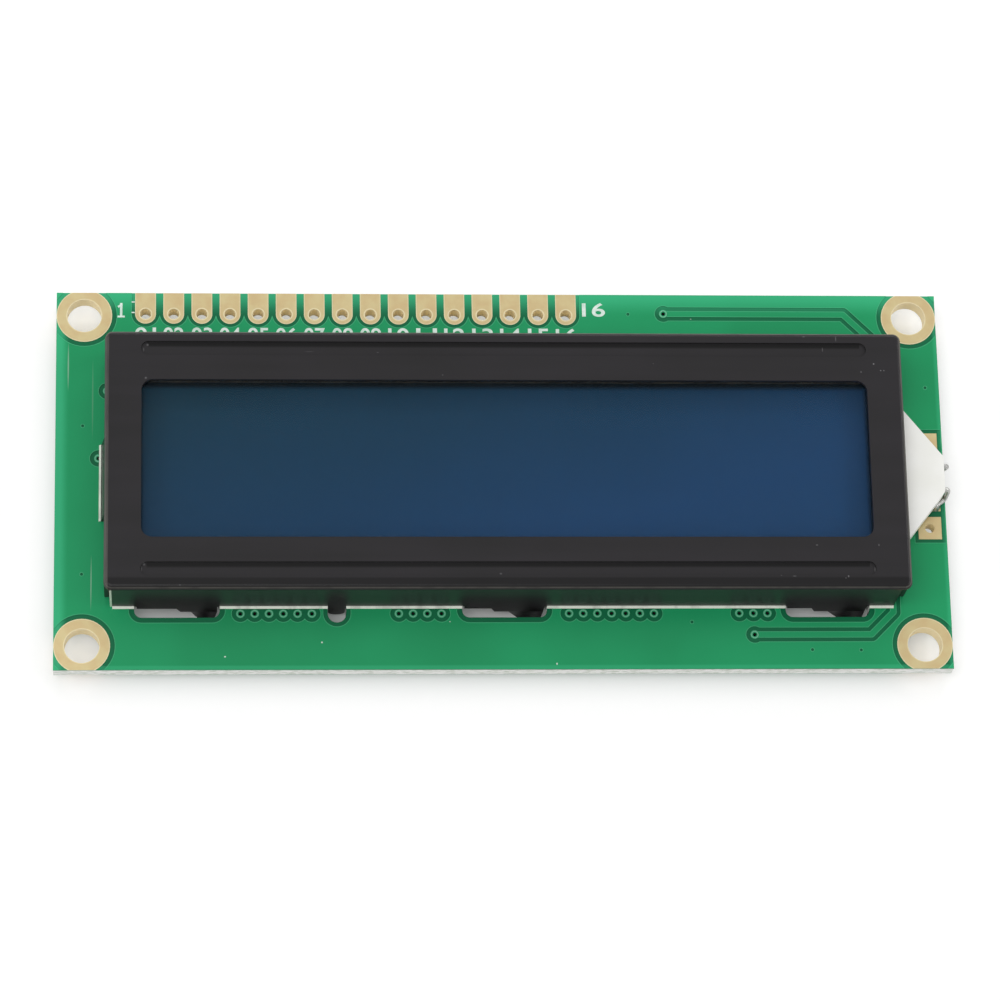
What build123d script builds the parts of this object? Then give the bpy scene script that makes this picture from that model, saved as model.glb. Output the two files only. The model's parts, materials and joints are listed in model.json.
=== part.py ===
"""Character LCD module: an 80 mm circuit board that carries a two-line liquid crystal
cell under a stamped black steel bezel, with an edge-lit backlight whose LED sits in a
white ear at the right.

Millimetres. The origin is the centre of the four mounting holes on the board's back
face. +X runs along the board away from pin 1, +Y runs towards the row of header pads
and +Z points out of the display.
"""
import os

from build123d import *

# Circuit board
BOARD_LENGTH = 80.0
BOARD_WIDTH = 35.4
BOARD_THICKNESS = 1.6
COPPER = 0.04
PLATING = 0.05

# The board length that the places along X are drawn for. On another board they spread in proportion
PLAN_LENGTH = 80.0

# Mounting holes, at the corners of a rectangle, each in a plated ring
MOUNT_END_DISTANCE = 2.5
MOUNT_SIDE_DISTANCE = 2.2
MOUNT_HOLE_DIAMETER = 3.1
MOUNT_RING_DIAMETER = 5.0
MOUNT_RING_CLEARANCE = 0.45

# Row of header pads along the +Y edge
HEADER_PITCH = 2.54
HEADER_COUNT = 16
HEADER_END_DISTANCE = 8.0
HEADER_EDGE_DISTANCE = 2.0
HEADER_HOLE_DIAMETER = 1.0
HEADER_PAD_WIDTH = 1.87
HEADER_PAD_CLEARANCE = 0.34

# Square pads for the backlight's leads along the +X edge
LED_PAD_SIZE = 2.1
LED_PAD_PITCH = 2.65
LED_PAD_COUNT = 4
LED_PAD_FIRST_Y = -4.58
LED_PAD_EDGE_DISTANCE = 1.5
LED_PAD_HOLE_DIAMETER = 0.88
LED_PAD_CLEARANCE = 0.36

# Slots for the bezel's tabs, and the round-ended holes for its locating pegs
SLOT_PLACES = (-29.13, -0.07, 28.87)
SLOT_LENGTH = 7.55
SLOT_WIDTH = 1.65
SLOT_CORNER_RADIUS = 0.65
SLOT_INNER_GAP = 0.25
SLOT_CLEARANCE = 0.5
PEG_PLACE = -14.98
PEG_HOLE_DIAMETER = 1.65
PEG_HOLE_LENGTH = 2.4
PEG_HOLE_REACH = 1.45
PEG_HOLE_CLEARANCE = 0.42

# Plated vias in rows between the front slots: where each row starts and how many it has
VIA_ROW_PLACES = (-23.53, -9.49, 5.67, 20.91)
VIA_ROW_COUNTS = (6, 4, 7, 3)
VIA_PITCH = 1.265
VIA_WALL_DISTANCE = 0.65
VIA_HOLE_DIAMETER = 0.34
VIA_RING_DIAMETER = 0.72
VIA_CLEARANCE = 0.44
# Two vias near the left end, as the distance from that end and Y
LEFT_VIAS = ((3.86, 1.92), (4.6, 8.3))

# Vias under the mask: along the long edges as the place along X and the distance from the edge,
# and at the ends as the distance from the end and Y
COVERED_FRONT_VIAS = ((16.64, 4.34), (27.35, 1.76), (31.73, 1.72))
COVERED_REAR_VIA = (11.78, 1.88)
COVERED_LEFT_VIAS = ((2.43, 4.99), (2.44, -8.89))
COVERED_RIGHT_VIA = (1.27, 8.8)

# Two copper tracks that start at a via and run round the mounting holes at the right. Their
# points are measured from the hole, and the rear one's start from the last header pad
TRACK_WIDTH = 0.52
TRACK_CLEARANCE = 0.42
FRONT_TRACK = ((-15.27, 0.97), (-4.78, 0.97), (-2.71, 3.04), (-2.71, 6.0))
REAR_TRACK_START = 8.91
REAR_TRACK = ((-6.0, 0.37), (-2.9, -2.73), (-2.9, -5.5))

# Bezel, stamped from one sheet of steel
BEZEL_END_MARGIN = 4.35
BEZEL_SIDE_MARGIN = 5.7
BEZEL_CENTRE_X = 0.12
BEZEL_CENTRE_Y = 0.1
SHEET = 0.4
BEND_RADIUS = 0.45
FACE_CORNER_RADIUS = 0.7
WALL_END_INSET = 0.82
SIDE_WALL_END_INSET = 0.9
FACE_CENTRE_Y = 0.2
WINDOW_END_MARGIN = 3.25
WINDOW_SIDE_MARGIN = 4.68
WINDOW_CORNER_RADIUS = 1.0
GROOVE_END_MARGIN = 3.2
GROOVE_SIDE_MARGIN = 1.75
GROOVE_WIDTH = 1.3
GROOVE_FLANK = 0.15

# Tabs of the bezel: wide shoulders in the slots, and tongues twisted behind the board
SHOULDER_SIDE_GAP = 0.22
SHOULDER_DEPTH = 0.65
TONGUE_WIDTHS = (3.6, 4.7, 4.9)
TONGUE_TWISTS = (44.0, 36.0, 36.0)
TONGUE_TAPER = 0.35
TONGUE_DROP = 1.45
TONGUE_SECTIONS = 5
PEG_WIDTH = 1.5
PEG_LENGTH = 2.45
BURR = 0.2

# Spring tab in the bezel's left wall, bent outwards over the board
FLARE_CENTRE_Y = -0.42
FLARE_LENGTH = 7.15
FLARE_SLIT = 0.3
FLARE_HEIGHT = 2.6
FLARE_REACH = 0.36

# Backlight, stacked on the board inside the bezel
FRAME_END_GAP = 0.4
FRAME_STRIP_GAP = 0.2
FRAME_FLOOR = 0.4
FRAME_RIM = 0.7
FRAME_CORNER_RADIUS = 0.6
REFLECTOR_THICKNESS = 0.1
GUIDE_THICKNESS = 1.7
DIFFUSER_THICKNESS = 0.2
SHEET_GAP = 0.1

# The ear, a funnel that leads the light in from the LED
EAR_CENTRE_Y = -0.3
EAR_ROOT_INSET = 1.7
EAR_TIP_HALF = 1.65
EAR_TIP_EDGE_DISTANCE = 0.38
EAR_TIP_RADIUS = 0.8
EAR_LIFT = 0.6
EAR_FLOOR = 0.25
EAR_NOTCH_GAP = 0.4
LED_LENGTH = 1.4
LED_WIDTH = 3.0
LED_HEIGHT = 1.2
LED_END_WALL = 0.4
LED_GAP = 0.05
LEAD_DIAMETER = 0.45
LEAD_SPACING = 2.2
LEAD_REACH = 0.53
LEAD_HEEL_REACH = 0.3
LEAD_BEND_RADIUS = 0.3
LEAD_FOOT_LIFT = 0.02
SOLDER_RADIUS = 0.45
SOLDER_HEIGHT = 0.42
# Each lead's pad, the heel's Y from the pad's centre, and the toe's place from that centre
CATHODE_PAD_INDEX = 1
CATHODE_HEEL_Y = 0.0
CATHODE_TOE = (0.6, -0.65)
ANODE_PAD_INDEX = 2
ANODE_HEEL_Y = 0.15
ANODE_TOE = (0.35, 0.0)

# Liquid crystal cell: two glasses sealed together, with a film on each outer face
POLARIZER_THICKNESS = 0.2
GLASS_THICKNESS = 1.1
CELL_GAP = 0.1
CELL_END_GAP = 0.7
CELL_SIDE_GAP = 0.1
REAR_GLASS_INSET = 0.15
POLARIZER_END_INSET = 0.8
POLARIZER_GROOVE_GAP = 0.65
SEAL_WIDTH = 0.8
SEAL_INSET = 0.6

# Rubber strips that join the cell's contacts to the board's
STRIP_END_INSET = 2.5
STRIP_WIDTH = 2.0
STRIP_WALL_GAP = 0.15
FINGER_PITCH = 1.3
FINGER_WIDTH = 0.75
FINGER_MARGIN = 0.3

# Parts on the board's back face
BLOB_RISE = 1.2
CONTROLLER_BLOB_DIAMETER = 15.0
DRIVER_BLOB_DIAMETER = 13.0
CONTROLLER_X = -13.5
DRIVER_X = 14.0
CHIP_LENGTH = 2.0
CHIP_WIDTH = 1.25
RESISTOR_HEIGHT = 0.5
CAPACITOR_HEIGHT = 0.85
RESISTOR_COUNT = 6
RESISTOR_FIRST = (26.5, -6.25)
CAPACITOR_COUNT = 4
CAPACITOR_FIRST = (-26.5, -3.75)
CHIP_PITCH = 2.5

# Levels, from the board upwards
BOARD_TOP = BOARD_THICKNESS
REFLECTOR_Z = BOARD_TOP + FRAME_FLOOR
GUIDE_Z = REFLECTOR_Z + REFLECTOR_THICKNESS
DIFFUSER_Z = GUIDE_Z + GUIDE_THICKNESS
REAR_POLARIZER_Z = DIFFUSER_Z + DIFFUSER_THICKNESS
REAR_GLASS_Z = REAR_POLARIZER_Z + POLARIZER_THICKNESS
CELL_Z = REAR_GLASS_Z + GLASS_THICKNESS
FRONT_GLASS_Z = CELL_Z + CELL_GAP
FRONT_POLARIZER_Z = FRONT_GLASS_Z + GLASS_THICKNESS
FACE_INSIDE_Z = FRONT_POLARIZER_Z + POLARIZER_THICKNESS
FACE_Z = FACE_INSIDE_Z + SHEET

# Sizes and places worked out from the sizes above
BOARD_END_X = BOARD_LENGTH / 2
BOARD_SIDE_Y = BOARD_WIDTH / 2
SPREAD = BOARD_LENGTH / PLAN_LENGTH
MOUNT_X = BOARD_END_X - MOUNT_END_DISTANCE
MOUNT_Y = BOARD_SIDE_Y - MOUNT_SIDE_DISTANCE
HEADER_FIRST_X = HEADER_END_DISTANCE - BOARD_END_X
HEADER_LAST_X = HEADER_FIRST_X + (HEADER_COUNT - 1) * HEADER_PITCH
HEADER_Y = BOARD_SIDE_Y - HEADER_EDGE_DISTANCE
LED_PAD_X = BOARD_END_X - LED_PAD_EDGE_DISTANCE
SLOT_CENTRES_X = [place * SPREAD for place in SLOT_PLACES]
PEG_CENTRE_X = PEG_PLACE * SPREAD
BEZEL_LENGTH = BOARD_LENGTH - 2 * BEZEL_END_MARGIN
BEZEL_WIDTH = BOARD_WIDTH - 2 * BEZEL_SIDE_MARGIN
FRONT_WALL_LENGTH = BEZEL_LENGTH - 2 * WALL_END_INSET
WINDOW_LENGTH = BEZEL_LENGTH - 2 * WINDOW_END_MARGIN
WINDOW_WIDTH = BEZEL_WIDTH - 2 * WINDOW_SIDE_MARGIN
GROOVE_LENGTH = BEZEL_LENGTH - 2 * GROOVE_END_MARGIN
GROOVE_OFFSET_Y = BEZEL_WIDTH / 2 - GROOVE_SIDE_MARGIN
WALL_OUTSIDE_Y = BEZEL_WIDTH / 2
WALL_INSIDE_Y = WALL_OUTSIDE_Y - SHEET
SLOT_CENTRE_Y = WALL_INSIDE_Y - SLOT_INNER_GAP + SLOT_WIDTH / 2
PEG_HOLE_Y = WALL_OUTSIDE_Y + PEG_HOLE_REACH - PEG_HOLE_LENGTH / 2
VIA_ROW_Y = BEZEL_CENTRE_Y - WALL_OUTSIDE_Y - VIA_WALL_DISTANCE
STRIP_CENTRE_Y = WALL_INSIDE_Y - STRIP_WALL_GAP - STRIP_WIDTH / 2
CELL_LENGTH = BEZEL_LENGTH - 2 * (SHEET + CELL_END_GAP)
STRIP_LENGTH = CELL_LENGTH - 2 * STRIP_END_INSET
FINGER_COUNT = int(STRIP_LENGTH / FINGER_PITCH - 1)
FRAME_LENGTH = BEZEL_LENGTH - 2 * (SHEET + FRAME_END_GAP)
FRAME_WIDTH = 2 * (STRIP_CENTRE_Y - STRIP_WIDTH / 2 - FRAME_STRIP_GAP)
FRONT_GLASS_WIDTH = BEZEL_WIDTH - 2 * (SHEET + CELL_SIDE_GAP)
REAR_GLASS_WIDTH = FRAME_WIDTH - 2 * REAR_GLASS_INSET
POLARIZER_LENGTH = CELL_LENGTH - 2 * POLARIZER_END_INSET
POLARIZER_WIDTH = 2 * (GROOVE_OFFSET_Y - GROOVE_WIDTH / 2 - GROOVE_FLANK - POLARIZER_GROOVE_GAP)
FRAME_END_X = BEZEL_CENTRE_X + FRAME_LENGTH / 2
EAR_ROOT_HALF = FRAME_WIDTH / 2 - EAR_ROOT_INSET
EAR_TIP_X = BOARD_END_X - EAR_TIP_EDGE_DISTANCE
EAR_LENGTH = EAR_TIP_X - FRAME_END_X
LED_X = EAR_TIP_X - LED_END_WALL - LED_LENGTH / 2
EAR_Z = BOARD_TOP + EAR_LIFT
LED_Z = EAR_Z + EAR_FLOOR + LED_GAP + LED_HEIGHT / 2

BOTTOM = (Align.CENTER, Align.CENTER, Align.MIN)
TOP = (Align.CENTER, Align.CENTER, Align.MAX)


def mount_points():
    """The centres of the four mounting holes."""
    return [Pos(sx * MOUNT_X, sy * MOUNT_Y) for sx in (-1, 1) for sy in (-1, 1)]


def header_points():
    """The centres of the header holes."""
    return [Pos(HEADER_FIRST_X + i * HEADER_PITCH, HEADER_Y) for i in range(HEADER_COUNT)]


def led_pad_points():
    """The centres of the square pads at the right edge."""
    return [Pos(LED_PAD_X, LED_PAD_FIRST_Y + i * LED_PAD_PITCH) for i in range(LED_PAD_COUNT)]


def tracks():
    """The points of the two tracks, from the via at the start of each."""
    front = [(MOUNT_X + x, y - MOUNT_Y) for x, y in FRONT_TRACK]
    rear = [(MOUNT_X + x, y + MOUNT_Y) for x, y in REAR_TRACK]
    rear_start = (HEADER_LAST_X + REAR_TRACK_START, rear[0][1])
    return [front, [rear_start] + rear]


def via_points():
    """The centres of the vias that show their rings."""
    points = [Pos(*track[0]) for track in tracks()]
    for place, count in zip(VIA_ROW_PLACES, VIA_ROW_COUNTS):
        points += [Pos((place + i * VIA_PITCH) * SPREAD, VIA_ROW_Y) for i in range(count)]
    return points + [Pos(distance - BOARD_END_X, y) for distance, y in LEFT_VIAS]


def covered_via_points():
    """The centres of the vias under the mask."""
    points = [Pos(place * SPREAD, distance - BOARD_SIDE_Y) for place, distance in COVERED_FRONT_VIAS]
    points.append(Pos(COVERED_REAR_VIA[0] * SPREAD, BOARD_SIDE_Y - COVERED_REAR_VIA[1]))
    points += [Pos(distance - BOARD_END_X, y) for distance, y in COVERED_LEFT_VIAS]
    points.append(Pos(BOARD_END_X - COVERED_RIGHT_VIA[0], COVERED_RIGHT_VIA[1]))
    return points


def sides():
    """The two long sides of the module, as mirror factors in Y."""
    return (-1, 1)


def slot_points():
    """The centres of the six tab slots."""
    return [Pos(x, BEZEL_CENTRE_Y + side * SLOT_CENTRE_Y) for x in SLOT_CENTRES_X for side in sides()]


def peg_points():
    """The centres of the two peg holes."""
    return [Pos(PEG_CENTRE_X, BEZEL_CENTRE_Y + side * PEG_HOLE_Y) for side in sides()]


def strip_centres_y():
    """The places in Y of the lower and the upper rubber strip."""
    return [BEZEL_CENTRE_Y + side * STRIP_CENTRE_Y for side in sides()]


def stroke(points, width):
    """A track of one width along straight runs, with round joints."""
    shape = Sketch()
    for start, end in zip(points, points[1:]):
        run = Vector(*end) - Vector(*start)
        middle = (Vector(*end) + Vector(*start)) / 2
        angle = Vector(1, 0).get_signed_angle(run, Vector(0, 0, 1))
        shape += Pos(middle.X, middle.Y) * Rot(0, 0, angle) * SlotCenterToCenter(run.length, width)
    return shape


def header_pad(margin=0.0):
    """One header pad: a bar with a round lower end that runs out over the board's edge."""
    width = HEADER_PAD_WIDTH + 2 * margin
    reach = HEADER_EDGE_DISTANCE + margin
    bar = Pos(0, reach / 2) * Rectangle(width, reach)
    return Circle(width / 2) + bar


def tab_slot(margin=0.0):
    """One slot for a tab of the bezel."""
    radius = SLOT_CORNER_RADIUS + margin
    return RectangleRounded(SLOT_LENGTH + 2 * margin, SLOT_WIDTH + 2 * margin, radius)


def peg_hole(margin=0.0):
    """One round-ended hole for a locating peg of the bezel."""
    return Rot(0, 0, 90) * SlotOverall(PEG_HOLE_LENGTH + 2 * margin, PEG_HOLE_DIAMETER + 2 * margin)


def spread(shape, points):
    """One sketch that holds a copy of the shape at each point."""
    return Sketch() + [point * shape for point in points]


def board_outline():
    """The board's outline."""
    return Rectangle(BOARD_LENGTH, BOARD_WIDTH)


def board_holes():
    """Every hole that goes through the board."""
    holes = spread(Circle(MOUNT_HOLE_DIAMETER / 2 + PLATING), mount_points())
    holes += spread(Circle(HEADER_HOLE_DIAMETER / 2 + PLATING), header_points())
    holes += spread(Circle(LED_PAD_HOLE_DIAMETER / 2 + PLATING), led_pad_points())
    holes += spread(tab_slot(), slot_points())
    holes += spread(peg_hole(), peg_points())
    holes += spread(Circle(VIA_HOLE_DIAMETER / 2), via_points())
    return holes


def pad_clearances():
    """The bare ground round the plated pads, the same on both faces."""
    ground = spread(Circle(MOUNT_RING_DIAMETER / 2 + MOUNT_RING_CLEARANCE), mount_points())
    ground += spread(header_pad(HEADER_PAD_CLEARANCE), header_points())
    side = LED_PAD_SIZE + 2 * LED_PAD_CLEARANCE
    ground += spread(Rectangle(side, side), led_pad_points())
    ground += spread(tab_slot(SLOT_CLEARANCE), slot_points())
    ground += spread(peg_hole(PEG_HOLE_CLEARANCE), peg_points())
    return ground


def front_clearances():
    """The bare ground on the front face, where the copper has been etched away."""
    ground = pad_clearances()
    for track in tracks():
        ground += stroke(track, TRACK_WIDTH + 2 * TRACK_CLEARANCE)
    ground += spread(Circle(VIA_RING_DIAMETER / 2 + VIA_CLEARANCE), via_points())
    finger_field = Rectangle(FINGER_COUNT * FINGER_PITCH, STRIP_WIDTH + 2 * FINGER_MARGIN)
    ground += spread(finger_field, [Pos(BEZEL_CENTRE_X, y) for y in strip_centres_y()])
    for track in tracks():
        ground -= stroke(track, TRACK_WIDTH)
    ground -= spread(Circle(VIA_RING_DIAMETER / 2), via_points())
    return ground & board_outline()


def circuit_board():
    """The board, with its holes, and shallow ground where there is no copper."""
    board = extrude(board_outline() - board_holes(), BOARD_THICKNESS)
    board -= Pos(0, 0, BOARD_TOP - COPPER) * extrude(front_clearances(), COPPER)
    board -= extrude(pad_clearances() & board_outline(), COPPER)
    for point in covered_via_points():
        board -= point * Pos(0, 0, BOARD_TOP) * Cylinder(VIA_HOLE_DIAMETER / 2, 2 * COPPER)
    return board


def plated_hole(pad, hole_diameter):
    """A pad on both faces of the board, joined by the plated wall of its hole."""
    bore = Circle(hole_diameter / 2)
    plate = extrude(pad - bore, COPPER)
    barrel = extrude(Circle(hole_diameter / 2 + PLATING) - bore, BOARD_THICKNESS)
    return barrel + plate + Pos(0, 0, BOARD_THICKNESS - COPPER) * plate


def mounting_hole_rings():
    """The four plated rings, cut off where the board ends."""
    ring = plated_hole(Circle(MOUNT_RING_DIAMETER / 2), MOUNT_HOLE_DIAMETER)
    limit = extrude(board_outline(), BOARD_THICKNESS)
    return [(point * ring) & limit for point in mount_points()]


def header_pads():
    """The plated pads of the header row."""
    pad = plated_hole(header_pad(), HEADER_HOLE_DIAMETER)
    return [point * pad for point in header_points()]


def backlight_pads():
    """The square plated pads for the backlight's leads."""
    pad = plated_hole(Rectangle(LED_PAD_SIZE, LED_PAD_SIZE), LED_PAD_HOLE_DIAMETER)
    return [point * pad for point in led_pad_points()]


def contact_fingers():
    """The gold fingers under the two rubber strips."""
    finger = Box(FINGER_WIDTH, STRIP_WIDTH + FINGER_MARGIN, COPPER, align=TOP)
    first = BEZEL_CENTRE_X - (FINGER_COUNT - 1) * FINGER_PITCH / 2
    columns = [first + i * FINGER_PITCH for i in range(FINGER_COUNT)]
    return [Pos(x, y, BOARD_TOP) * finger for y in strip_centres_y() for x in columns]


def bent_blank(inset):
    """A closed body with the bezel's outer form, or its inner form when inset by the sheet."""
    length = BEZEL_LENGTH - 2 * inset
    outline = RectangleRounded(length, BEZEL_WIDTH - 2 * inset, FACE_CORNER_RADIUS - inset)
    height = FACE_Z - inset - BOARD_TOP
    body = Pos(BEZEL_CENTRE_X, BEZEL_CENTRE_Y, BOARD_TOP) * extrude(outline, height)
    return fillet(body.faces().sort_by(Axis.Z)[-1].edges(), BEND_RADIUS - inset)


def groove(width, depth):
    """One long groove's body, hanging down from z = 0."""
    return extrude(SlotOverall(GROOVE_LENGTH - GROOVE_WIDTH + width, width), -depth)


def add_grooves(bezel):
    """Press two long grooves into the face, so that they bear on the front glass."""
    depth = POLARIZER_THICKNESS
    for side in sides():
        place = Pos(BEZEL_CENTRE_X, FACE_CENTRE_Y + side * GROOVE_OFFSET_Y)
        bezel += place * Pos(0, 0, FACE_INSIDE_Z) * groove(GROOVE_WIDTH + 2 * GROOVE_FLANK, depth)
        bezel -= place * Pos(0, 0, FACE_Z) * groove(GROOVE_WIDTH, depth)
    return bezel


def open_corners(bezel):
    """Take away the sheet below the face at each corner, where the walls don't meet."""
    height = FACE_Z - BEND_RADIUS - BOARD_TOP
    for sx in (-1, 1):
        width = BEZEL_LENGTH / 2 + sx * BEZEL_CENTRE_X - FRONT_WALL_LENGTH / 2
        notch = Box(2 * width, 2 * SIDE_WALL_END_INSET, height, align=BOTTOM)
        x = BEZEL_CENTRE_X + sx * BEZEL_LENGTH / 2
        for sy in sides():
            bezel -= Pos(x, BEZEL_CENTRE_Y + sy * BEZEL_WIDTH / 2, BOARD_TOP) * notch
    return bezel


def burr(length):
    """The bright lip that shearing leaves on a cut edge: it runs along +X and stands out to -Y."""
    root = SHEET / 2
    profile = Polyline((root, 0), (-BURR, 0), (0, BURR), (root, BURR), close=True)
    return extrude(Plane.YZ * make_face(profile), length)


def wall_burrs():
    """The lips along one wall's lower edge, between the tabs and the peg, and up its left end."""
    half = FRONT_WALL_LENGTH / 2
    gaps = [(x - SLOT_LENGTH / 2, x + SLOT_LENGTH / 2) for x in SLOT_CENTRES_X]
    gaps.append((PEG_CENTRE_X - PEG_HOLE_DIAMETER / 2, PEG_CENTRE_X + PEG_HOLE_DIAMETER / 2))
    gaps.sort()
    starts = [-half] + [gap[1] for gap in gaps]
    ends = [gap[0] for gap in gaps] + [half]
    lips = [Pos(start, -WALL_OUTSIDE_Y, BOARD_TOP) * burr(end - start) for start, end in zip(starts, ends)]
    end_profile = make_face(Polyline((0, 0), (-BURR, 0), (0, BURR), close=True))
    end_lip = extrude(end_profile, FACE_Z - BEND_RADIUS - BOARD_TOP)
    return lips + [Pos(-half, -WALL_OUTSIDE_Y, BOARD_TOP) * end_lip]


def tongue_section(width, right_x, angle, z):
    """The tongue's cross-section at one height, turned about its own middle."""
    middle = Pos(right_x - width / 2, -WALL_OUTSIDE_Y + SHEET / 2, z)
    return middle * Rot(0, 0, angle) * Rectangle(width, SHEET)


def twist_tab(centre_x, tongue_width, twist):
    """One tab of the front wall: a shoulder in the slot, and a tongue twisted behind the board."""
    width = SLOT_LENGTH - 2 * SHOULDER_SIDE_GAP
    right_x = centre_x + width / 2
    shoulder = Box(width, SHEET, SHOULDER_DEPTH, align=TOP)
    shoulder = Pos(centre_x, -WALL_OUTSIDE_Y + SHEET / 2, BOARD_TOP) * shoulder
    neck_top = tongue_section(tongue_width, right_x, 0, BOARD_TOP - SHOULDER_DEPTH)
    neck_width = tongue_width - TONGUE_TAPER
    neck_end = tongue_section(neck_width, right_x, 0, 0)
    tongue = loft([neck_top, neck_end], ruled=True)
    steps = [i / (TONGUE_SECTIONS - 1) for i in range(TONGUE_SECTIONS)]
    sections = []
    for s in steps:
        taper = TONGUE_TAPER * s
        sections.append(tongue_section(neck_width - taper, right_x - taper, -twist * s, -TONGUE_DROP * s))
    return shoulder + tongue + loft(sections, ruled=True)


def locating_peg():
    """The narrow peg of the front wall, with a round end, that centres the bezel."""
    straight = PEG_LENGTH - PEG_WIDTH / 2
    profile = Pos(0, -straight / 2) * Rectangle(PEG_WIDTH, straight)
    profile += Pos(0, -straight) * Circle(PEG_WIDTH / 2)
    peg = extrude(Plane.XZ * profile, -SHEET)
    return Pos(PEG_CENTRE_X, -WALL_OUTSIDE_Y, BOARD_TOP) * peg


def flared_tab(bezel):
    """Slit the left wall round a spring tab and bend the tab outwards."""
    wall_x = BEZEL_CENTRE_X - BEZEL_LENGTH / 2
    opening = Box(4 * SHEET, FLARE_LENGTH + 2 * FLARE_SLIT, FLARE_HEIGHT, align=BOTTOM)
    bezel -= Pos(wall_x, FLARE_CENTRE_Y, BOARD_TOP) * opening
    outside = [(0, 0), (-FLARE_REACH, -FLARE_HEIGHT), (SHEET - FLARE_REACH, -FLARE_HEIGHT), (SHEET, 0)]
    profile = make_face(Polyline(*outside, close=True))
    tab = extrude(Plane.XZ * profile, FLARE_LENGTH / 2, both=True)
    lip = Pos(-FLARE_REACH, FLARE_LENGTH / 2, -FLARE_HEIGHT) * Rot(0, 0, -90) * burr(FLARE_LENGTH)
    return bezel + Pos(wall_x, FLARE_CENTRE_Y, BOARD_TOP + FLARE_HEIGHT) * (tab + lip)


def ear_outline(margin=0.0):
    """The ear's funnel in plan, with a neck that reaches back through the frame's rim."""
    root = EAR_ROOT_HALF + margin
    tip = EAR_TIP_HALF + margin
    length = EAR_LENGTH + margin
    half = [(-2 * FRAME_RIM, root), (0, root), (length, tip)]
    points = half + [(x, -y) for x, y in reversed(half)]
    outline = make_face(Polyline(*points, close=True))
    corners = outline.vertices().sort_by(Axis.X)[-2:]
    return Pos(FRAME_END_X, EAR_CENTRE_Y) * fillet(corners, EAR_TIP_RADIUS)


def bezel():
    """The stamped cover: face, window, grooves, four walls and the tabs that hold it."""
    body = bent_blank(0) - bent_blank(SHEET)
    window = RectangleRounded(WINDOW_LENGTH, WINDOW_WIDTH, WINDOW_CORNER_RADIUS)
    body -= Pos(BEZEL_CENTRE_X, FACE_CENTRE_Y, FACE_INSIDE_Z) * extrude(window, SHEET)
    body = open_corners(add_grooves(body))
    ear_height = REAR_GLASS_Z + EAR_NOTCH_GAP - BOARD_TOP
    body -= Pos(0, 0, BOARD_TOP) * extrude(ear_outline(EAR_NOTCH_GAP), ear_height)
    body = flared_tab(body)
    wall = [locating_peg()] + wall_burrs()
    for centre_x, width, twist in zip(SLOT_CENTRES_X, TONGUE_WIDTHS, TONGUE_TWISTS):
        wall.append(twist_tab(centre_x, width, twist))
    middle = Pos(0, BEZEL_CENTRE_Y)
    for piece in wall:
        body += middle * piece
        body += middle * mirror(piece, Plane.XZ)
    return body


def plate(length, width, thickness, z):
    """A flat plate centred under the bezel."""
    return Pos(BEZEL_CENTRE_X, BEZEL_CENTRE_Y, z) * Box(length, width, thickness, align=BOTTOM)


def front_polarizer():
    """The film on the front glass, between the bezel's two grooves."""
    return plate(POLARIZER_LENGTH, POLARIZER_WIDTH, POLARIZER_THICKNESS, FRONT_POLARIZER_Z)


def front_glass():
    """The viewer's glass, whose long edges stand out as contact ledges."""
    return plate(CELL_LENGTH, FRONT_GLASS_WIDTH, GLASS_THICKNESS, FRONT_GLASS_Z)


def rear_glass():
    """The narrower glass at the back of the cell."""
    return plate(CELL_LENGTH, REAR_GLASS_WIDTH, GLASS_THICKNESS, REAR_GLASS_Z)


def rear_polarizer():
    """The film under the rear glass, inside the backlight frame's rim."""
    width = FRAME_WIDTH - 2 * (FRAME_RIM + SHEET_GAP)
    return plate(POLARIZER_LENGTH, width, POLARIZER_THICKNESS, REAR_POLARIZER_Z)


def cell_area(inset):
    """The cell's area inside the glass edges, drawn in by an inset."""
    return RectangleRounded(CELL_LENGTH - 2 * inset, REAR_GLASS_WIDTH - 2 * inset, SEAL_WIDTH)


def cell_seal():
    """The epoxy frame that joins the two glasses."""
    frame = cell_area(SEAL_INSET) - cell_area(SEAL_INSET + SEAL_WIDTH)
    return Pos(BEZEL_CENTRE_X, BEZEL_CENTRE_Y, CELL_Z) * extrude(frame, CELL_GAP)


def liquid_crystal():
    """The layer of liquid crystal inside the seal."""
    layer_area = cell_area(SEAL_INSET + SEAL_WIDTH)
    return Pos(BEZEL_CENTRE_X, BEZEL_CENTRE_Y, CELL_Z) * extrude(layer_area, CELL_GAP)


def zebra_strip(side):
    """A rubber contact strip, pressed between the board's fingers and the front glass."""
    strip = Box(STRIP_LENGTH, STRIP_WIDTH, FRONT_GLASS_Z - BOARD_TOP, align=BOTTOM)
    return Pos(BEZEL_CENTRE_X, BEZEL_CENTRE_Y + side * STRIP_CENTRE_Y, BOARD_TOP) * strip


def frame_area(inset):
    """The backlight's area in plan, drawn in from the frame's outside."""
    area = RectangleRounded(FRAME_LENGTH - 2 * inset, FRAME_WIDTH - 2 * inset, FRAME_CORNER_RADIUS)
    return Pos(BEZEL_CENTRE_X, BEZEL_CENTRE_Y) * area


def funnel_area(inset):
    """The part of the ear's plan that the light runs through, up to the LED's pocket."""
    pocket_x = LED_X - LED_LENGTH / 2 - LED_GAP
    limit = Pos(pocket_x, 0) * Rectangle(BOARD_LENGTH, BOARD_LENGTH, align=(Align.MAX, Align.CENTER))
    return ear_outline(-inset) & limit


def layer(area, z, thickness):
    """A flat piece of the backlight, from its plan, its level and its thickness."""
    return Pos(0, 0, z) * extrude(area, thickness)


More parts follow.
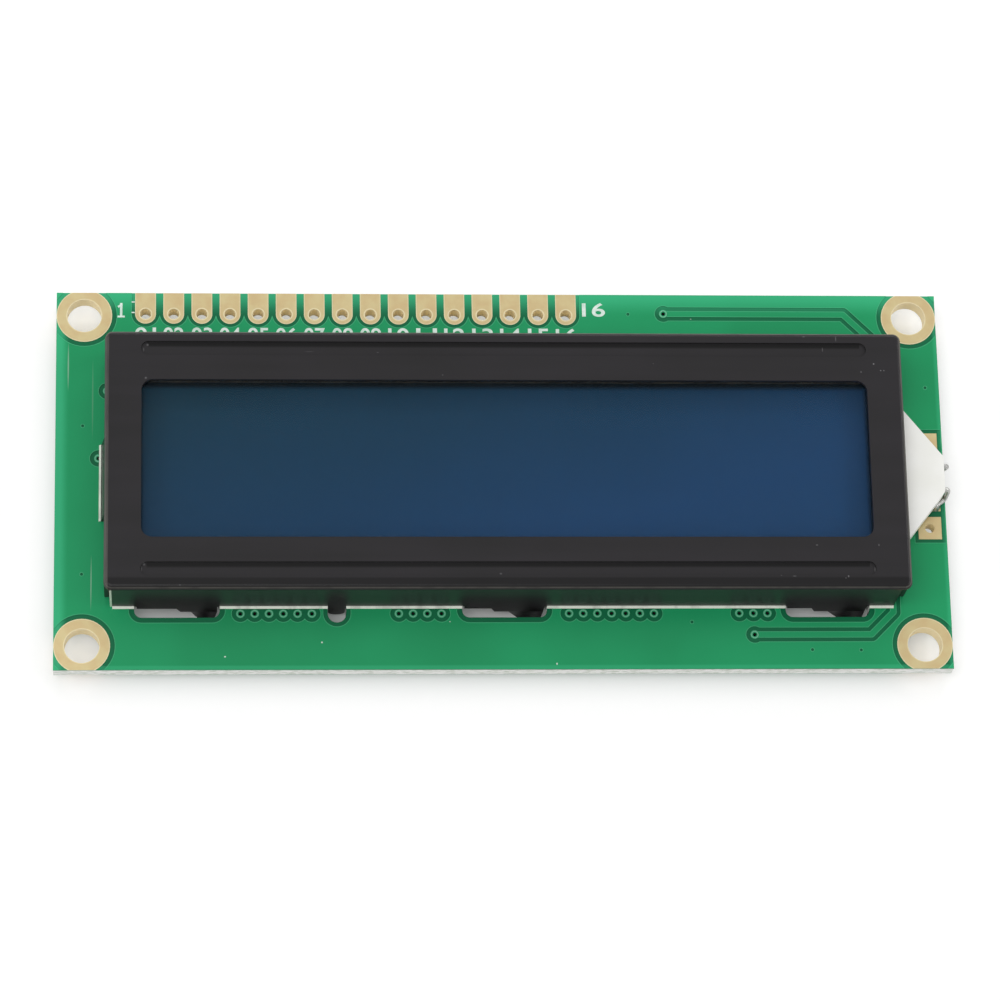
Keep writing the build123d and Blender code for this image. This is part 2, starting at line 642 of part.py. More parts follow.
def backlight_frame():
    """The white moulded tray with the ear, open to the front except over the ear."""
    body = layer(frame_area(0), BOARD_TOP, REAR_GLASS_Z - BOARD_TOP)
    body += layer(ear_outline(), EAR_Z, REAR_GLASS_Z - EAR_Z)
    body -= layer(frame_area(FRAME_RIM), REFLECTOR_Z, REAR_GLASS_Z - REFLECTOR_Z)
    body -= layer(funnel_area(FRAME_RIM), EAR_Z + EAR_FLOOR, DIFFUSER_Z - EAR_Z - EAR_FLOOR)
    body -= Pos(LED_X, EAR_CENTRE_Y, LED_Z) * Box(
        LED_LENGTH + 2 * LED_GAP, LED_WIDTH + 2 * LED_GAP, LED_HEIGHT + 2 * LED_GAP)
    hole = Rot(0, 90, 0) * Cylinder(LEAD_DIAMETER / 2 + LED_GAP, 2 * LED_END_WALL)
    for side in sides():
        body -= Pos(EAR_TIP_X - LED_END_WALL / 2, EAR_CENTRE_Y + side * LEAD_SPACING / 2, LED_Z) * hole
    return body


def reflector_sheet():
    """The white film under the light guide."""
    return layer(frame_area(FRAME_RIM + SHEET_GAP), REFLECTOR_Z, REFLECTOR_THICKNESS)


def light_guide():
    """The clear plate that spreads the light, with a funnel that leads it in from the LED."""
    funnel_z = EAR_Z + EAR_FLOOR + LED_GAP
    guide = layer(frame_area(FRAME_RIM + SHEET_GAP), GUIDE_Z, GUIDE_THICKNESS)
    return guide + layer(funnel_area(FRAME_RIM + SHEET_GAP), funnel_z, DIFFUSER_Z - funnel_z)


def diffuser_sheet():
    """The milky film over the light guide."""
    return layer(frame_area(FRAME_RIM + SHEET_GAP), DIFFUSER_Z, DIFFUSER_THICKNESS)


def led_package():
    """The LED in the ear's pocket."""
    return Pos(LED_X, EAR_CENTRE_Y, LED_Z) * Box(LED_LENGTH, LED_WIDTH, LED_HEIGHT)


def foot_points(pad_index, heel_y, toe):
    """The heel and the toe of one lead's foot, on the board's front face."""
    centre = led_pad_points()[pad_index].position
    z = BOARD_TOP + LEAD_FOOT_LIFT + LEAD_DIAMETER / 2
    heel = Vector(EAR_TIP_X + LEAD_HEEL_REACH, centre.Y + heel_y, z)
    return [heel, Vector(centre.X + toe[0], centre.Y + toe[1], z)]


def led_lead(side, foot):
    """One of the LED's leads: out through the ear's end, down past the edge and back onto its pad."""
    y = EAR_CENTRE_Y + side * LEAD_SPACING / 2
    start = Vector(LED_X + LED_LENGTH / 2, y, LED_Z)
    out = Vector(EAR_TIP_X + LEAD_REACH, y, LED_Z)
    path = FilletPolyline(start, out, *foot, radius=LEAD_BEND_RADIUS)
    return sweep(Plane(origin=path @ 0, z_dir=path % 0) * Circle(LEAD_DIAMETER / 2), path=path)


def solder_joint(side, foot):
    """The solder that wets a lead's toe and its pad."""
    toe = foot[1]
    dome = Cone(SOLDER_RADIUS, SOLDER_RADIUS / 2, SOLDER_HEIGHT, align=BOTTOM)
    return Pos(toe.X, toe.Y, BOARD_TOP) * dome - led_lead(side, foot)


def blob(diameter, x):
    """A dome of black epoxy over a bare die on the board's back."""
    radius = diameter / 2
    sphere_radius = (radius ** 2 + BLOB_RISE ** 2) / (2 * BLOB_RISE)
    sphere = Pos(x, 0, sphere_radius - BLOB_RISE) * Sphere(sphere_radius)
    return sphere & (Pos(x, 0, 0) * Cylinder(radius, BLOB_RISE, align=TOP))


def chip_column(first, count, height):
    """A column of small chip parts soldered to the board's back."""
    chip = Box(CHIP_LENGTH, CHIP_WIDTH, height, align=TOP)
    return [Pos(first[0], first[1] + i * CHIP_PITCH) * chip for i in range(count)]


ANODE_FOOT = foot_points(ANODE_PAD_INDEX, ANODE_HEEL_Y, ANODE_TOE)
CATHODE_FOOT = foot_points(CATHODE_PAD_INDEX, CATHODE_HEEL_Y, CATHODE_TOE)

NODES = {
    "circuit_board": circuit_board(),
    "mounting_hole_rings": mounting_hole_rings(),
    "header_pads": header_pads(),
    "backlight_pads": backlight_pads(),
    "contact_fingers": contact_fingers(),
    "bezel": bezel(),
    "front_polarizer": front_polarizer(),
    "front_glass": front_glass(),
    "cell_seal": cell_seal(),
    "liquid_crystal": liquid_crystal(),
    "rear_glass": rear_glass(),
    "rear_polarizer": rear_polarizer(),
    "zebra_strip_upper": zebra_strip(1),
    "zebra_strip_lower": zebra_strip(-1),
    "backlight_frame": backlight_frame(),
    "reflector_sheet": reflector_sheet(),
    "light_guide": light_guide(),
    "diffuser_sheet": diffuser_sheet(),
    "led_package": led_package(),
    "led_lead_anode": led_lead(1, ANODE_FOOT),
    "led_lead_cathode": led_lead(-1, CATHODE_FOOT),
    "solder_joints": [solder_joint(1, ANODE_FOOT), solder_joint(-1, CATHODE_FOOT)],
    "controller_blob": blob(CONTROLLER_BLOB_DIAMETER, CONTROLLER_X),
    "driver_blob": blob(DRIVER_BLOB_DIAMETER, DRIVER_X),
    "chip_resistors": chip_column(RESISTOR_FIRST, RESISTOR_COUNT, RESISTOR_HEIGHT),
    "chip_capacitors": chip_column(CAPACITOR_FIRST, CAPACITOR_COUNT, CAPACITOR_HEIGHT),
}

os.makedirs("parts", exist_ok=True)
for name, shape in NODES.items():
    solid = Compound(children=list(shape)) if isinstance(shape, list) else shape
    export_step(solid, f"parts/{name}.step")
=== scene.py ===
"""Dresses the character display module and sets it in a white studio.

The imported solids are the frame. This script gives each of them its finish and adds the thin
things that lie on them: the copper's edge under the solder mask, the printed numerals, the
solder at the chips and the dust. Sizes in the classes are millimetres, and meshes are metres.
"""

import json
import logging
import math
from dataclasses import dataclass, field
from enum import Enum
from typing import Optional, Sequence, Union

import bpy
from mathutils import Matrix, Vector

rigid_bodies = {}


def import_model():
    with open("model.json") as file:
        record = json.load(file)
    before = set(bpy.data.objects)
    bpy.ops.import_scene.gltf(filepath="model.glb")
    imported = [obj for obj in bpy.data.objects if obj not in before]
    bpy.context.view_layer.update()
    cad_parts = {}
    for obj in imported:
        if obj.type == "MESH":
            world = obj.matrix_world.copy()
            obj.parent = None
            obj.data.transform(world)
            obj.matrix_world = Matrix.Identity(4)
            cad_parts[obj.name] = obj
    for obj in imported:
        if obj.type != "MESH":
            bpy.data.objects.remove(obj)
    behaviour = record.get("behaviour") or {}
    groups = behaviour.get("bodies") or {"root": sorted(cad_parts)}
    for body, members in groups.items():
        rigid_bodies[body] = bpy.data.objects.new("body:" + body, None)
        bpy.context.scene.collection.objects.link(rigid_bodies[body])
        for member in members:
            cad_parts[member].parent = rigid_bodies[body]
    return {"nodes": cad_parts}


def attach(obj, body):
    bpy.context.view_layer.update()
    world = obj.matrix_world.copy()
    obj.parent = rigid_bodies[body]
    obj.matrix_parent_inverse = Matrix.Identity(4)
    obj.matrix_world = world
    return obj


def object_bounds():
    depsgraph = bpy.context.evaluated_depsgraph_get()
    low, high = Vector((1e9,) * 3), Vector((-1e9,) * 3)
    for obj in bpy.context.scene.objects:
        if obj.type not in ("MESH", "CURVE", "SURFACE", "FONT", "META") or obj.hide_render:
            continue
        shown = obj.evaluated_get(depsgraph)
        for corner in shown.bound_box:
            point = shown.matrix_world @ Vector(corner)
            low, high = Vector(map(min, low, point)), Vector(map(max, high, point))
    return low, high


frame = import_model()
CAD_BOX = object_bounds()

MM = 0.001
SCRATCH_CONTRAST = 12.0
WALL_LIMIT = 0.5
LOG = logging.getLogger("module")

Colour = tuple[float, float, float, float]
Value = Union[float, bpy.types.NodeSocket]
Tint = Union[Colour, bpy.types.NodeSocket]


class Slot(Enum):
    """The record's material slots."""

    BOARD = "board"
    GOLD = "gold"
    BEZEL_PAINT = "bezel_paint"
    POLARIZER = "polarizer"
    CELL_GLASS = "cell_glass"
    CRYSTAL = "crystal"
    SEAL = "seal"
    ZEBRA_RUBBER = "zebra_rubber"
    WHITE_PLASTIC = "white_plastic"
    LIGHT_GUIDE = "light_guide"
    FILM = "film"
    LED_RESIN = "led_resin"
    TIN = "tin"
    EPOXY = "epoxy"
    RESISTOR = "resistor"
    CAPACITOR = "capacitor"
    SILKSCREEN = "silkscreen"


class Side(Enum):
    """A face of the circuit board: its height and which way it looks."""

    FRONT = (1.6, 1.0)
    BACK = (0.0, -1.0)

    @property
    def height(self) -> float:
        """The face's Z in millimetres."""
        return self.value[0]

    @property
    def outward(self) -> float:
        """The sign of the face's normal."""
        return self.value[1]


def screen_colour(red: int, green: int, blue: int) -> Colour:
    """Turn a colour as a screen shows it into the linear one that shaders take.

    Args:
        red: Red from 0 to 255.
        green: Green from 0 to 255.
        blue: Blue from 0 to 255.

    Returns:
        The linear colour with full alpha.
    """
    linear = []
    for level in (red, green, blue):
        share = level / 255.0
        linear.append(share / 12.92 if share <= 0.04045 else ((share + 0.055) / 1.055) ** 2.4)
    return (linear[0], linear[1], linear[2], 1.0)


class Graph:
    """Adds and joins the nodes of one material or node group."""

    def __init__(self, tree: bpy.types.NodeTree) -> None:
        """Keep the tree that the calls add to."""
        self.tree = tree

    def add(self, kind: str, inputs: Optional[dict] = None, **settings: object) -> bpy.types.Node:
        """Add one node.

        Args:
            kind: The node's type.
            inputs: Values or sockets for its inputs, by name or number.
            settings: The node's own properties.

        Returns:
            The new node.
        """
        node = self.tree.nodes.new(kind)
        for key, value in settings.items():
            setattr(node, key, value)
        for key, value in (inputs or {}).items():
            if isinstance(value, bpy.types.NodeSocket):
                self.tree.links.new(value, node.inputs[key])
            else:
                node.inputs[key].default_value = value
        return node

    def math(self, operation: str, *values: Value, clamp: bool = False) -> bpy.types.NodeSocket:
        """One Math node on the given values or sockets."""
        inputs = dict(enumerate(values))
        return self.add("ShaderNodeMath", inputs, operation=operation, use_clamp=clamp).outputs[0]

    def both(self, *masks: Value) -> bpy.types.NodeSocket:
        """The product of two or more masks."""
        product = masks[0]
        for mask in masks[1:]:
            product = self.math("MULTIPLY", product, mask)
        return product

    def either(self, *masks: Value) -> bpy.types.NodeSocket:
        """The largest of two or more masks."""
        largest = masks[0]
        for mask in masks[1:]:
            largest = self.math("MAXIMUM", largest, mask)
        return largest

    def over(self, value: Value, limit: float) -> bpy.types.NodeSocket:
        """1 where a value is greater than a limit, and 0 elsewhere."""
        return self.math("GREATER_THAN", value, limit)

    def under(self, value: Value, limit: Value) -> bpy.types.NodeSocket:
        """1 where a value is less than a limit, and 0 elsewhere."""
        return self.math("LESS_THAN", value, limit)

    def apart(self, value: Value, middle: Value) -> bpy.types.NodeSocket:
        """How far a value is from a middle, on either side."""
        return self.math("ABSOLUTE", self.math("SUBTRACT", value, middle))

    def reach(self, x: Value, y: Value) -> bpy.types.NodeSocket:
        """The length that two distances at right angles make."""
        return self.math("SQRT", self.math("ADD", self.math("POWER", x, 2.0), self.math("POWER", y, 2.0)))

    def steep(self) -> bpy.types.NodeSocket:
        """1 on walls, and 0 on faces that look up or down."""
        normal = self.add("ShaderNodeTexCoord").outputs["Normal"]
        return self.under(self.math("ABSOLUTE", self.axes(normal)[2]), WALL_LIMIT)

    def ease(self, value: Value, low: float, high: float) -> bpy.types.NodeSocket:
        """Rise smoothly from 0 at low to 1 at high, or fall where low is the larger."""
        inputs = {"Value": value, "From Min": low, "From Max": high}
        return self.add("ShaderNodeMapRange", inputs, interpolation_type="SMOOTHSTEP").outputs[0]

    def blend(self, factor: Value, first: Tint, second: Tint) -> bpy.types.NodeSocket:
        """Mix two colours by a factor."""
        inputs = {0: factor, 6: first, 7: second}
        return self.add("ShaderNodeMix", inputs, data_type="RGBA").outputs[2]

    def level(self, factor: Value, low: float, high: float) -> bpy.types.NodeSocket:
        """Map a factor from 0 to 1 onto a range of numbers."""
        inputs = {"Value": factor, "To Min": low, "To Max": high}
        return self.add("ShaderNodeMapRange", inputs).outputs[0]

    def millimetres(self) -> bpy.types.NodeSocket:
        """The point's place on the object, in millimetres."""
        place = self.add("ShaderNodeTexCoord").outputs["Object"]
        return self.add("ShaderNodeVectorMath", {0: place, "Scale": 1 / MM}, operation="SCALE").outputs[0]

    def stretch(self, vector: bpy.types.NodeSocket, x: float, y: float, z: float) -> bpy.types.NodeSocket:
        """Scale a vector by a factor along each axis."""
        return self.add("ShaderNodeVectorMath", {0: vector, 1: (x, y, z)}, operation="MULTIPLY").outputs[0]

    def axes(self, vector: bpy.types.NodeSocket) -> list[bpy.types.NodeSocket]:
        """The vector's X, Y and Z."""
        return list(self.add("ShaderNodeSeparateXYZ", {0: vector}).outputs)

    def noise(
        self, vector: bpy.types.NodeSocket, scale: float, detail: float = 2.0
    ) -> bpy.types.NodeSocket:
        """Soft noise from 0 to 1, with a number of lumps per millimetre."""
        inputs = {"Vector": vector, "Scale": scale, "Detail": detail}
        return self.add("ShaderNodeTexNoise", inputs).outputs[0]

    def group(self, tree: bpy.types.NodeTree, inputs: dict) -> bpy.types.NodeSocket:
        """Place a node group and give its first output."""
        return self.add("ShaderNodeGroup", inputs, node_tree=tree).outputs[0]


class SharedEffects:
    """The node groups that more than one finish uses, each built once."""

    def __init__(self) -> None:
        """Build every group."""
        self.band = self._band()
        self.specks = self._specks()
        self.scratches = self._scratches()
        self.relief = self._relief()
        self.spot = self._spot()

    def near(
        self, graph: Graph, value: Value, centre: float, half_width: float, softness: float
    ) -> bpy.types.NodeSocket:
        """Place the band group: 1 near a centre, and 0 away from it."""
        inputs = {"Value": value, "Centre": centre, "Half Width": half_width, "Softness": softness}
        return graph.group(self.band, inputs)

    def texture(
        self, graph: Graph, place: bpy.types.NodeSocket, coarse: float, fine: float
    ) -> bpy.types.NodeSocket:
        """Place the relief group with a number of lumps per millimetre for each of its two parts."""
        return graph.group(self.relief, {"Vector": place, "Coarse Scale": coarse, "Fine Scale": fine})

    @staticmethod
    def _new(name: str, inputs: Sequence[tuple[str, str, float]], output: str) -> tuple[Graph, dict]:
        """Make an empty group.

        Args:
            name: The group's name.
            inputs: Each input's name, socket type and default.
            output: The name of its one output, a number.

        Returns:
            The graph, and its input sockets by name with the output node under "out".
        """
        tree = bpy.data.node_groups.new(name, "ShaderNodeTree")
        for label, kind, default in inputs:
            socket = tree.interface.new_socket(label, in_out="INPUT", socket_type=kind)
            if kind == "NodeSocketFloat":
                socket.default_value = default
        tree.interface.new_socket(output, in_out="OUTPUT", socket_type="NodeSocketFloat")
        graph = Graph(tree)
        source = graph.add("NodeGroupInput")
        sockets = {label: source.outputs[label] for label, _, _ in inputs}
        sockets["out"] = graph.add("NodeGroupOutput").inputs[0]
        return graph, sockets

    def _band(self) -> bpy.types.NodeTree:
        """A mask that is 1 near a value and fades to 0 outside it."""
        graph, s = self._new(
            "band",
            [
                ("Value", "NodeSocketFloat", 0.0),
                ("Centre", "NodeSocketFloat", 0.0),
                ("Half Width", "NodeSocketFloat", 1.0),
                ("Softness", "NodeSocketFloat", 0.1),
            ],
            "Mask",
        )
        away = graph.apart(s["Value"], s["Centre"])
        inside = graph.math("DIVIDE", graph.math("SUBTRACT", s["Half Width"], away), s["Softness"])
        graph.tree.links.new(graph.math("ADD", inside, 0.5, clamp=True), s["out"])
        return graph.tree

    def _specks(self) -> bpy.types.NodeTree:
        """A mask of scattered round specks of dust or pits."""
        graph, s = self._new(
            "specks",
            [
                ("Vector", "NodeSocketVector", 0.0),
                ("Scale", "NodeSocketFloat", 1.0),
                ("Share", "NodeSocketFloat", 0.1),
                ("Radius", "NodeSocketFloat", 0.1),
            ],
            "Mask",
        )
        cells = graph.add("ShaderNodeTexVoronoi", {"Vector": s["Vector"], "Scale": s["Scale"]})
        red = graph.add("ShaderNodeSeparateColor", {0: cells.outputs["Color"]}).outputs[0]
        chosen = graph.under(red, s["Share"])
        near = graph.under(cells.outputs["Distance"], s["Radius"])
        graph.tree.links.new(graph.both(chosen, near), s["out"])
        return graph.tree

    def _scratches(self) -> bpy.types.NodeTree:
        """A mask of fine hairlines in one direction of a stretched vector."""
        graph, s = self._new(
            "scratches",
            [
                ("Vector", "NodeSocketVector", 0.0),
                ("Scale", "NodeSocketFloat", 1.0),
                ("Threshold", "NodeSocketFloat", 0.7),
            ],
            "Mask",
        )
        noise = graph.add("ShaderNodeTexNoise", {"Vector": s["Vector"], "Scale": s["Scale"], "Detail": 3.0})
        above = graph.math("SUBTRACT", noise.outputs[0], s["Threshold"])
        graph.tree.links.new(graph.math("MULTIPLY", above, SCRATCH_CONTRAST, clamp=True), s["out"])
        return graph.tree

    def _relief(self) -> bpy.types.NodeTree:
        """A height of coarse waves with fine grain on them."""
        graph, s = self._new(
            "relief",
            [
                ("Vector", "NodeSocketVector", 0.0),
                ("Coarse Scale", "NodeSocketFloat", 1.0),
                ("Fine Scale", "NodeSocketFloat", 10.0),
                ("Fine Share", "NodeSocketFloat", 0.3),
            ],
            "Height",
        )
        coarse = graph.add("ShaderNodeTexNoise", {"Vector": s["Vector"], "Scale": s["Coarse Scale"]})
        fine_inputs = {"Vector": s["Vector"], "Scale": s["Fine Scale"], "Detail": 3.0}
        fine = graph.add("ShaderNodeTexNoise", fine_inputs)
        grain = graph.both(fine.outputs[0], s["Fine Share"])
        graph.tree.links.new(graph.math("ADD", coarse.outputs[0], grain), s["out"])
        return graph.tree

    def _spot(self) -> bpy.types.NodeTree:
        """A mask that is 1 at a centre and fades out at a radius, longer along X or Y."""
        graph, s = self._new(
            "spot",
            [
                ("Vector", "NodeSocketVector", 0.0),
                ("Centre", "NodeSocketVector", 0.0),
                ("Half Length", "NodeSocketFloat", 0.1),
                ("Half Width", "NodeSocketFloat", 0.1),
            ],
            "Mask",
        )
        inputs = {0: s["Vector"], 1: s["Centre"]}
        away = graph.add("ShaderNodeVectorMath", inputs, operation="SUBTRACT").outputs[0]
        x, y, _ = graph.axes(away)
        across = graph.math("POWER", graph.math("DIVIDE", x, s["Half Width"]), 2.0)
        along = graph.math("POWER", graph.math("DIVIDE", y, s["Half Length"]), 2.0)
        inside = graph.math("SUBTRACT", 1.0, graph.math("ADD", across, along), clamp=True)
        graph.tree.links.new(inside, s["out"])
        return graph.tree


@dataclass(frozen=True)
class Mark:
    """One mark on a surface: a fleck of dust, a scratch or a glint. Millimetres."""

    x: float
    y: float
    half_width: float
    half_length: float
    strength: float = 1.0


@dataclass(frozen=True)
class Fade:
    """A tint that grows towards an edge: where it starts, where it is full, and its strength."""

    start: float
    full: float
    strength: float

    def mask(self, graph: Graph, distance: Value) -> bpy.types.NodeSocket:
        """The tint's mask, from the distance to the edge."""
        return graph.both(graph.ease(distance, self.start, self.full), self.strength)


@dataclass(frozen=True)
class Finish:
    """One finish: its slot and the plain numbers that its shader takes."""

    slot: Slot
    roughness: float = 0.5
    metallic: float = 0.0
    specular: float = 0.5
    alpha: float = 1.0
    coat: float = 0.0
    bump_mm: float = 0.0

    def make(self, effects: SharedEffects) -> bpy.types.Material:
        """Build the material.

        Args:
            effects: The shared node groups.

        Returns:
            The finished material.
        """
        material = bpy.data.materials.new(f"{self.slot.value}_finish")
        material.use_nodes = True
        tree = material.node_tree
        tree.nodes.clear()
        graph = Graph(tree)
        shader = graph.add("ShaderNodeBsdfPrincipled")
        shader.inputs["Roughness"].default_value = self.roughness
        shader.inputs["Metallic"].default_value = self.metallic
        shader.inputs["Specular IOR Level"].default_value = self.specular
        shader.inputs["Alpha"].default_value = self.alpha
        shader.inputs["Coat Weight"].default_value = self.coat
        output = graph.add("ShaderNodeOutputMaterial")
        tree.links.new(shader.outputs[0], output.inputs[0])
        looks = self.looks(graph, effects, graph.millimetres())
        height = looks.pop("Height", None)
        for name, value in looks.items():
            tree.links.new(value, shader.inputs[name])
        if height is not None:
            inputs = {"Height": height, "Strength": 1.0, "Distance": self.bump_mm * MM}
            tree.links.new(graph.add("ShaderNodeBump", inputs).outputs[0], shader.inputs["Normal"])
        return material

    def looks(self, graph: Graph, effects: SharedEffects, place: bpy.types.NodeSocket) -> dict:
        """Give the sockets that vary over the surface, by the shader's input names."""
        raise NotImplementedError

    @staticmethod
    def marked(
        graph: Graph, effects: SharedEffects, place: bpy.types.NodeSocket, marks: Sequence[Mark]
    ) -> bpy.types.NodeSocket:
        """The mask of all the marks together, each at its own strength."""
        masks = []
        for mark in marks:
            inputs = {"Vector": place, "Centre": (mark.x, mark.y, 0.0)}
            inputs.update({"Half Width": mark.half_width, "Half Length": mark.half_length})
            masks.append(graph.both(graph.group(effects.spot, inputs), mark.strength))
        return graph.either(*masks)


@dataclass(frozen=True)
class PlainFinish(Finish):
    """A finish of two close colours in soft clouds, with a fine grain."""

    light: Colour = (0.5, 0.5, 0.5, 1.0)
    dark: Colour = (0.4, 0.4, 0.4, 1.0)
    cloud_scale: float = 0.2
    grain_scale: float = 6.0
    roughness_spread: float = 0.08

    def looks(self, graph: Graph, effects: SharedEffects, place: bpy.types.NodeSocket) -> dict:
        """Colour, roughness and grain of an even surface."""
        cloud = graph.ease(graph.noise(place, self.cloud_scale, 3.0), 0.3, 0.7)
        relief = effects.texture(graph, place, self.cloud_scale * 4, self.grain_scale)
        low = self.roughness - self.roughness_spread
        high = self.roughness + self.roughness_spread
        return {
            "Base Color": graph.blend(cloud, self.dark, self.light),
            "Roughness": graph.level(graph.noise(place, self.grain_scale / 4), low, high),
            "Height": relief,
        }


@dataclass(frozen=True)
class SolderMask(Finish):
    """Green solder mask over copper and over bare laminate, with pale fibre at the cuts and painted shade
    in the vias.
    """

    over_copper: Colour = screen_colour(28, 154, 98)
    over_copper_dark: Colour = screen_colour(24, 144, 90)
    over_laminate: Colour = screen_colour(6, 104, 66)
    margin: Colour = screen_colour(64, 192, 138)
    bead: Colour = screen_colour(62, 170, 118)
    via_ring: Colour = screen_colour(112, 182, 150)
    via_row: tuple[float, float] = (-12.55, 0.3)
    single_vias: tuple[Mark, ...] = (
        Mark(-36.14, 1.92, 0.3, 0.3),
        Mark(-35.4, 8.3, 0.3, 0.3),
        Mark(22.23, -14.53, 0.3, 0.3),
        Mark(15.01, 15.87, 0.3, 0.3),
    )
    pit_shade: Colour = screen_colour(0, 26, 14)
    fibre: Colour = screen_colour(255, 255, 252)
    fibre_dark: Colour = screen_colour(216, 223, 212)
    half_length: float = 40.0
    half_width: float = 17.7
    copper: float = 0.04
    cut_middle: float = 0.75
    cut_half: float = 0.69
    bead_rise: float = 0.005
    ring_rise: float = 0.016
    pit_depth: float = 0.056
    pit_floor: float = 1.0
    bore_shade_strength: float = 0.9
    right_fade: Fade = Fade(0.5, 0.2, 0.3)
    left_fade: Fade = Fade(1.3, 0.4, 0.6)
    rear_fade: Fade = Fade(2.2, 0.0, 0.6)
    front_highlight_fade: Fade = Fade(0.45, 0.3, 0.3)
    ragged: float = 0.08
    weave_pitch: float = 0.5
    weave_share: float = 0.12
    back_track_y: tuple[float, float] = (8.2, 14.2)
    track_gap: tuple[float, float] = (0.17, 0.05)
    pin_first_x: float = -32.0
    pin_pitch: float = 2.54
    pin_last: float = 15.0
    marks: tuple[Mark, ...] = (
        Mark(-38.9, 10.6, 0.08, 2.4, 0.22),
        Mark(-36.7, 7.5, 0.09, 4.0, 0.07),
        Mark(-36.72, -9.7, 0.05, 2.7, 0.3),
        Mark(-24.89, -16.5, 0.1, 0.08, 0.9),
        Mark(-16.33, -15.2, 0.09, 0.1, 0.8),
        Mark(35.2, 9.75, 0.06, 0.2, 0.5),
        Mark(4.48, -17.2, 0.07, 0.12, 0.9),
        Mark(-4.96, -13.3, 0.08, 0.06, 0.6),
    )

    def looks(self, graph: Graph, effects: SharedEffects, place: bpy.types.NodeSocket) -> dict:
        """Colour by height and place, roughness and weave."""
        x, y, z = graph.axes(place)
        front = graph.over(z, Side.FRONT.height - self.copper / 2)
        back = graph.under(z, self.copper / 2)
        copper = graph.either(front, back)
        cut = graph.both(graph.steep(), effects.near(graph, z, self.cut_middle, self.cut_half, 0.01))
        single = graph.ease(self.marked(graph, effects, place, self.single_vias), 0.0, 0.2)
        via_bore = graph.both(cut, graph.either(effects.near(graph, y, *self.via_row, 0.02), single))

        cloud = graph.ease(graph.noise(place, 0.06, 3.0), 0.35, 0.65)
        green = graph.blend(cloud, self.over_copper_dark, self.over_copper)
        pin = graph.math("DIVIDE", graph.math("SUBTRACT", x, self.pin_first_x), self.pin_pitch)
        off_pin = graph.apart(graph.math("FRACT", graph.math("ADD", pin, 0.5)), 0.5)
        in_row = graph.both(graph.over(pin, -0.5), graph.under(pin, self.pin_last + 0.5))
        low, high = self.back_track_y
        in_row = graph.both(in_row, effects.near(graph, y, (low + high) / 2, (high - low) / 2, 0.05))
        gap = effects.near(graph, off_pin, *self.track_gap, 0.02)
        etched = graph.both(back, in_row, gap)
        copper = graph.math("SUBTRACT", copper, etched, clamp=True)
        green = graph.blend(copper, self.over_laminate, green)
        raised = graph.over(z, Side.FRONT.height + self.bead_rise)
        green = graph.blend(raised, green, self.bead)
        ringed = graph.over(z, Side.FRONT.height + self.ring_rise)
        green = graph.blend(ringed, green, self.via_ring)
        # Painted shade: the floors of the covered vias' pits are near black.
        pit_shade = graph.under(z, Side.FRONT.height - self.pit_depth)
        green = graph.blend(graph.both(pit_shade, graph.over(z, self.pit_floor)), green, self.pit_shade)
        # Paler green towards the board's edges; the thin band along the front edge is a painted highlight.
        ragged = graph.both(graph.noise(place, 2.2, 3.0), self.ragged)
        to_right = graph.math("ADD", graph.math("SUBTRACT", self.half_length, x), ragged)
        to_left = graph.math("ADD", graph.math("ADD", self.half_length, x), ragged)
        near = graph.either(
            self.right_fade.mask(graph, to_right),
            self.left_fade.mask(graph, to_left),
            self.rear_fade.mask(graph, graph.math("SUBTRACT", self.half_width, y)),
            self.front_highlight_fade.mask(graph, graph.math("ADD", self.half_width, y)),
        )
        green = graph.blend(near, green, self.margin)

        layers = graph.noise(graph.stretch(place, 1.6, 1.6, 5.0), 1.0, 4.0)
        fibre = graph.blend(graph.ease(layers, 0.35, 0.6), self.fibre_dark, self.fibre)
        # Painted shade: the via bores' walls are darkened to near black.
        fibre = graph.blend(graph.both(via_bore, self.bore_shade_strength), fibre, self.pit_shade)
        threads = [graph.math("SINE", graph.both(axis, 2 * math.pi / self.weave_pitch)) for axis in (x, y)]
        weave = graph.both(*threads, self.weave_share)
        relief = effects.texture(graph, place, 1.5, 8.0)
        dust = graph.group(effects.specks, {"Vector": place, "Scale": 0.8, "Share": 0.03, "Radius": 0.04})
        dust = graph.either(graph.both(dust, 0.35), self.marked(graph, effects, place, self.marks))
        long_way = graph.stretch(place, 0.1, 2.5, 1.0)
        scuffed = graph.group(effects.scratches, {"Vector": long_way, "Scale": 1.0, "Threshold": 0.78})
        coated = graph.blend(dust, green, self.fibre)
        rough = graph.either(graph.both(cut, 0.8), graph.level(scuffed, self.roughness, 0.6))
        return {
            "Base Color": graph.blend(cut, coated, fibre),
            "Roughness": rough,
            "Height": graph.math("ADD", relief, weave),
        }


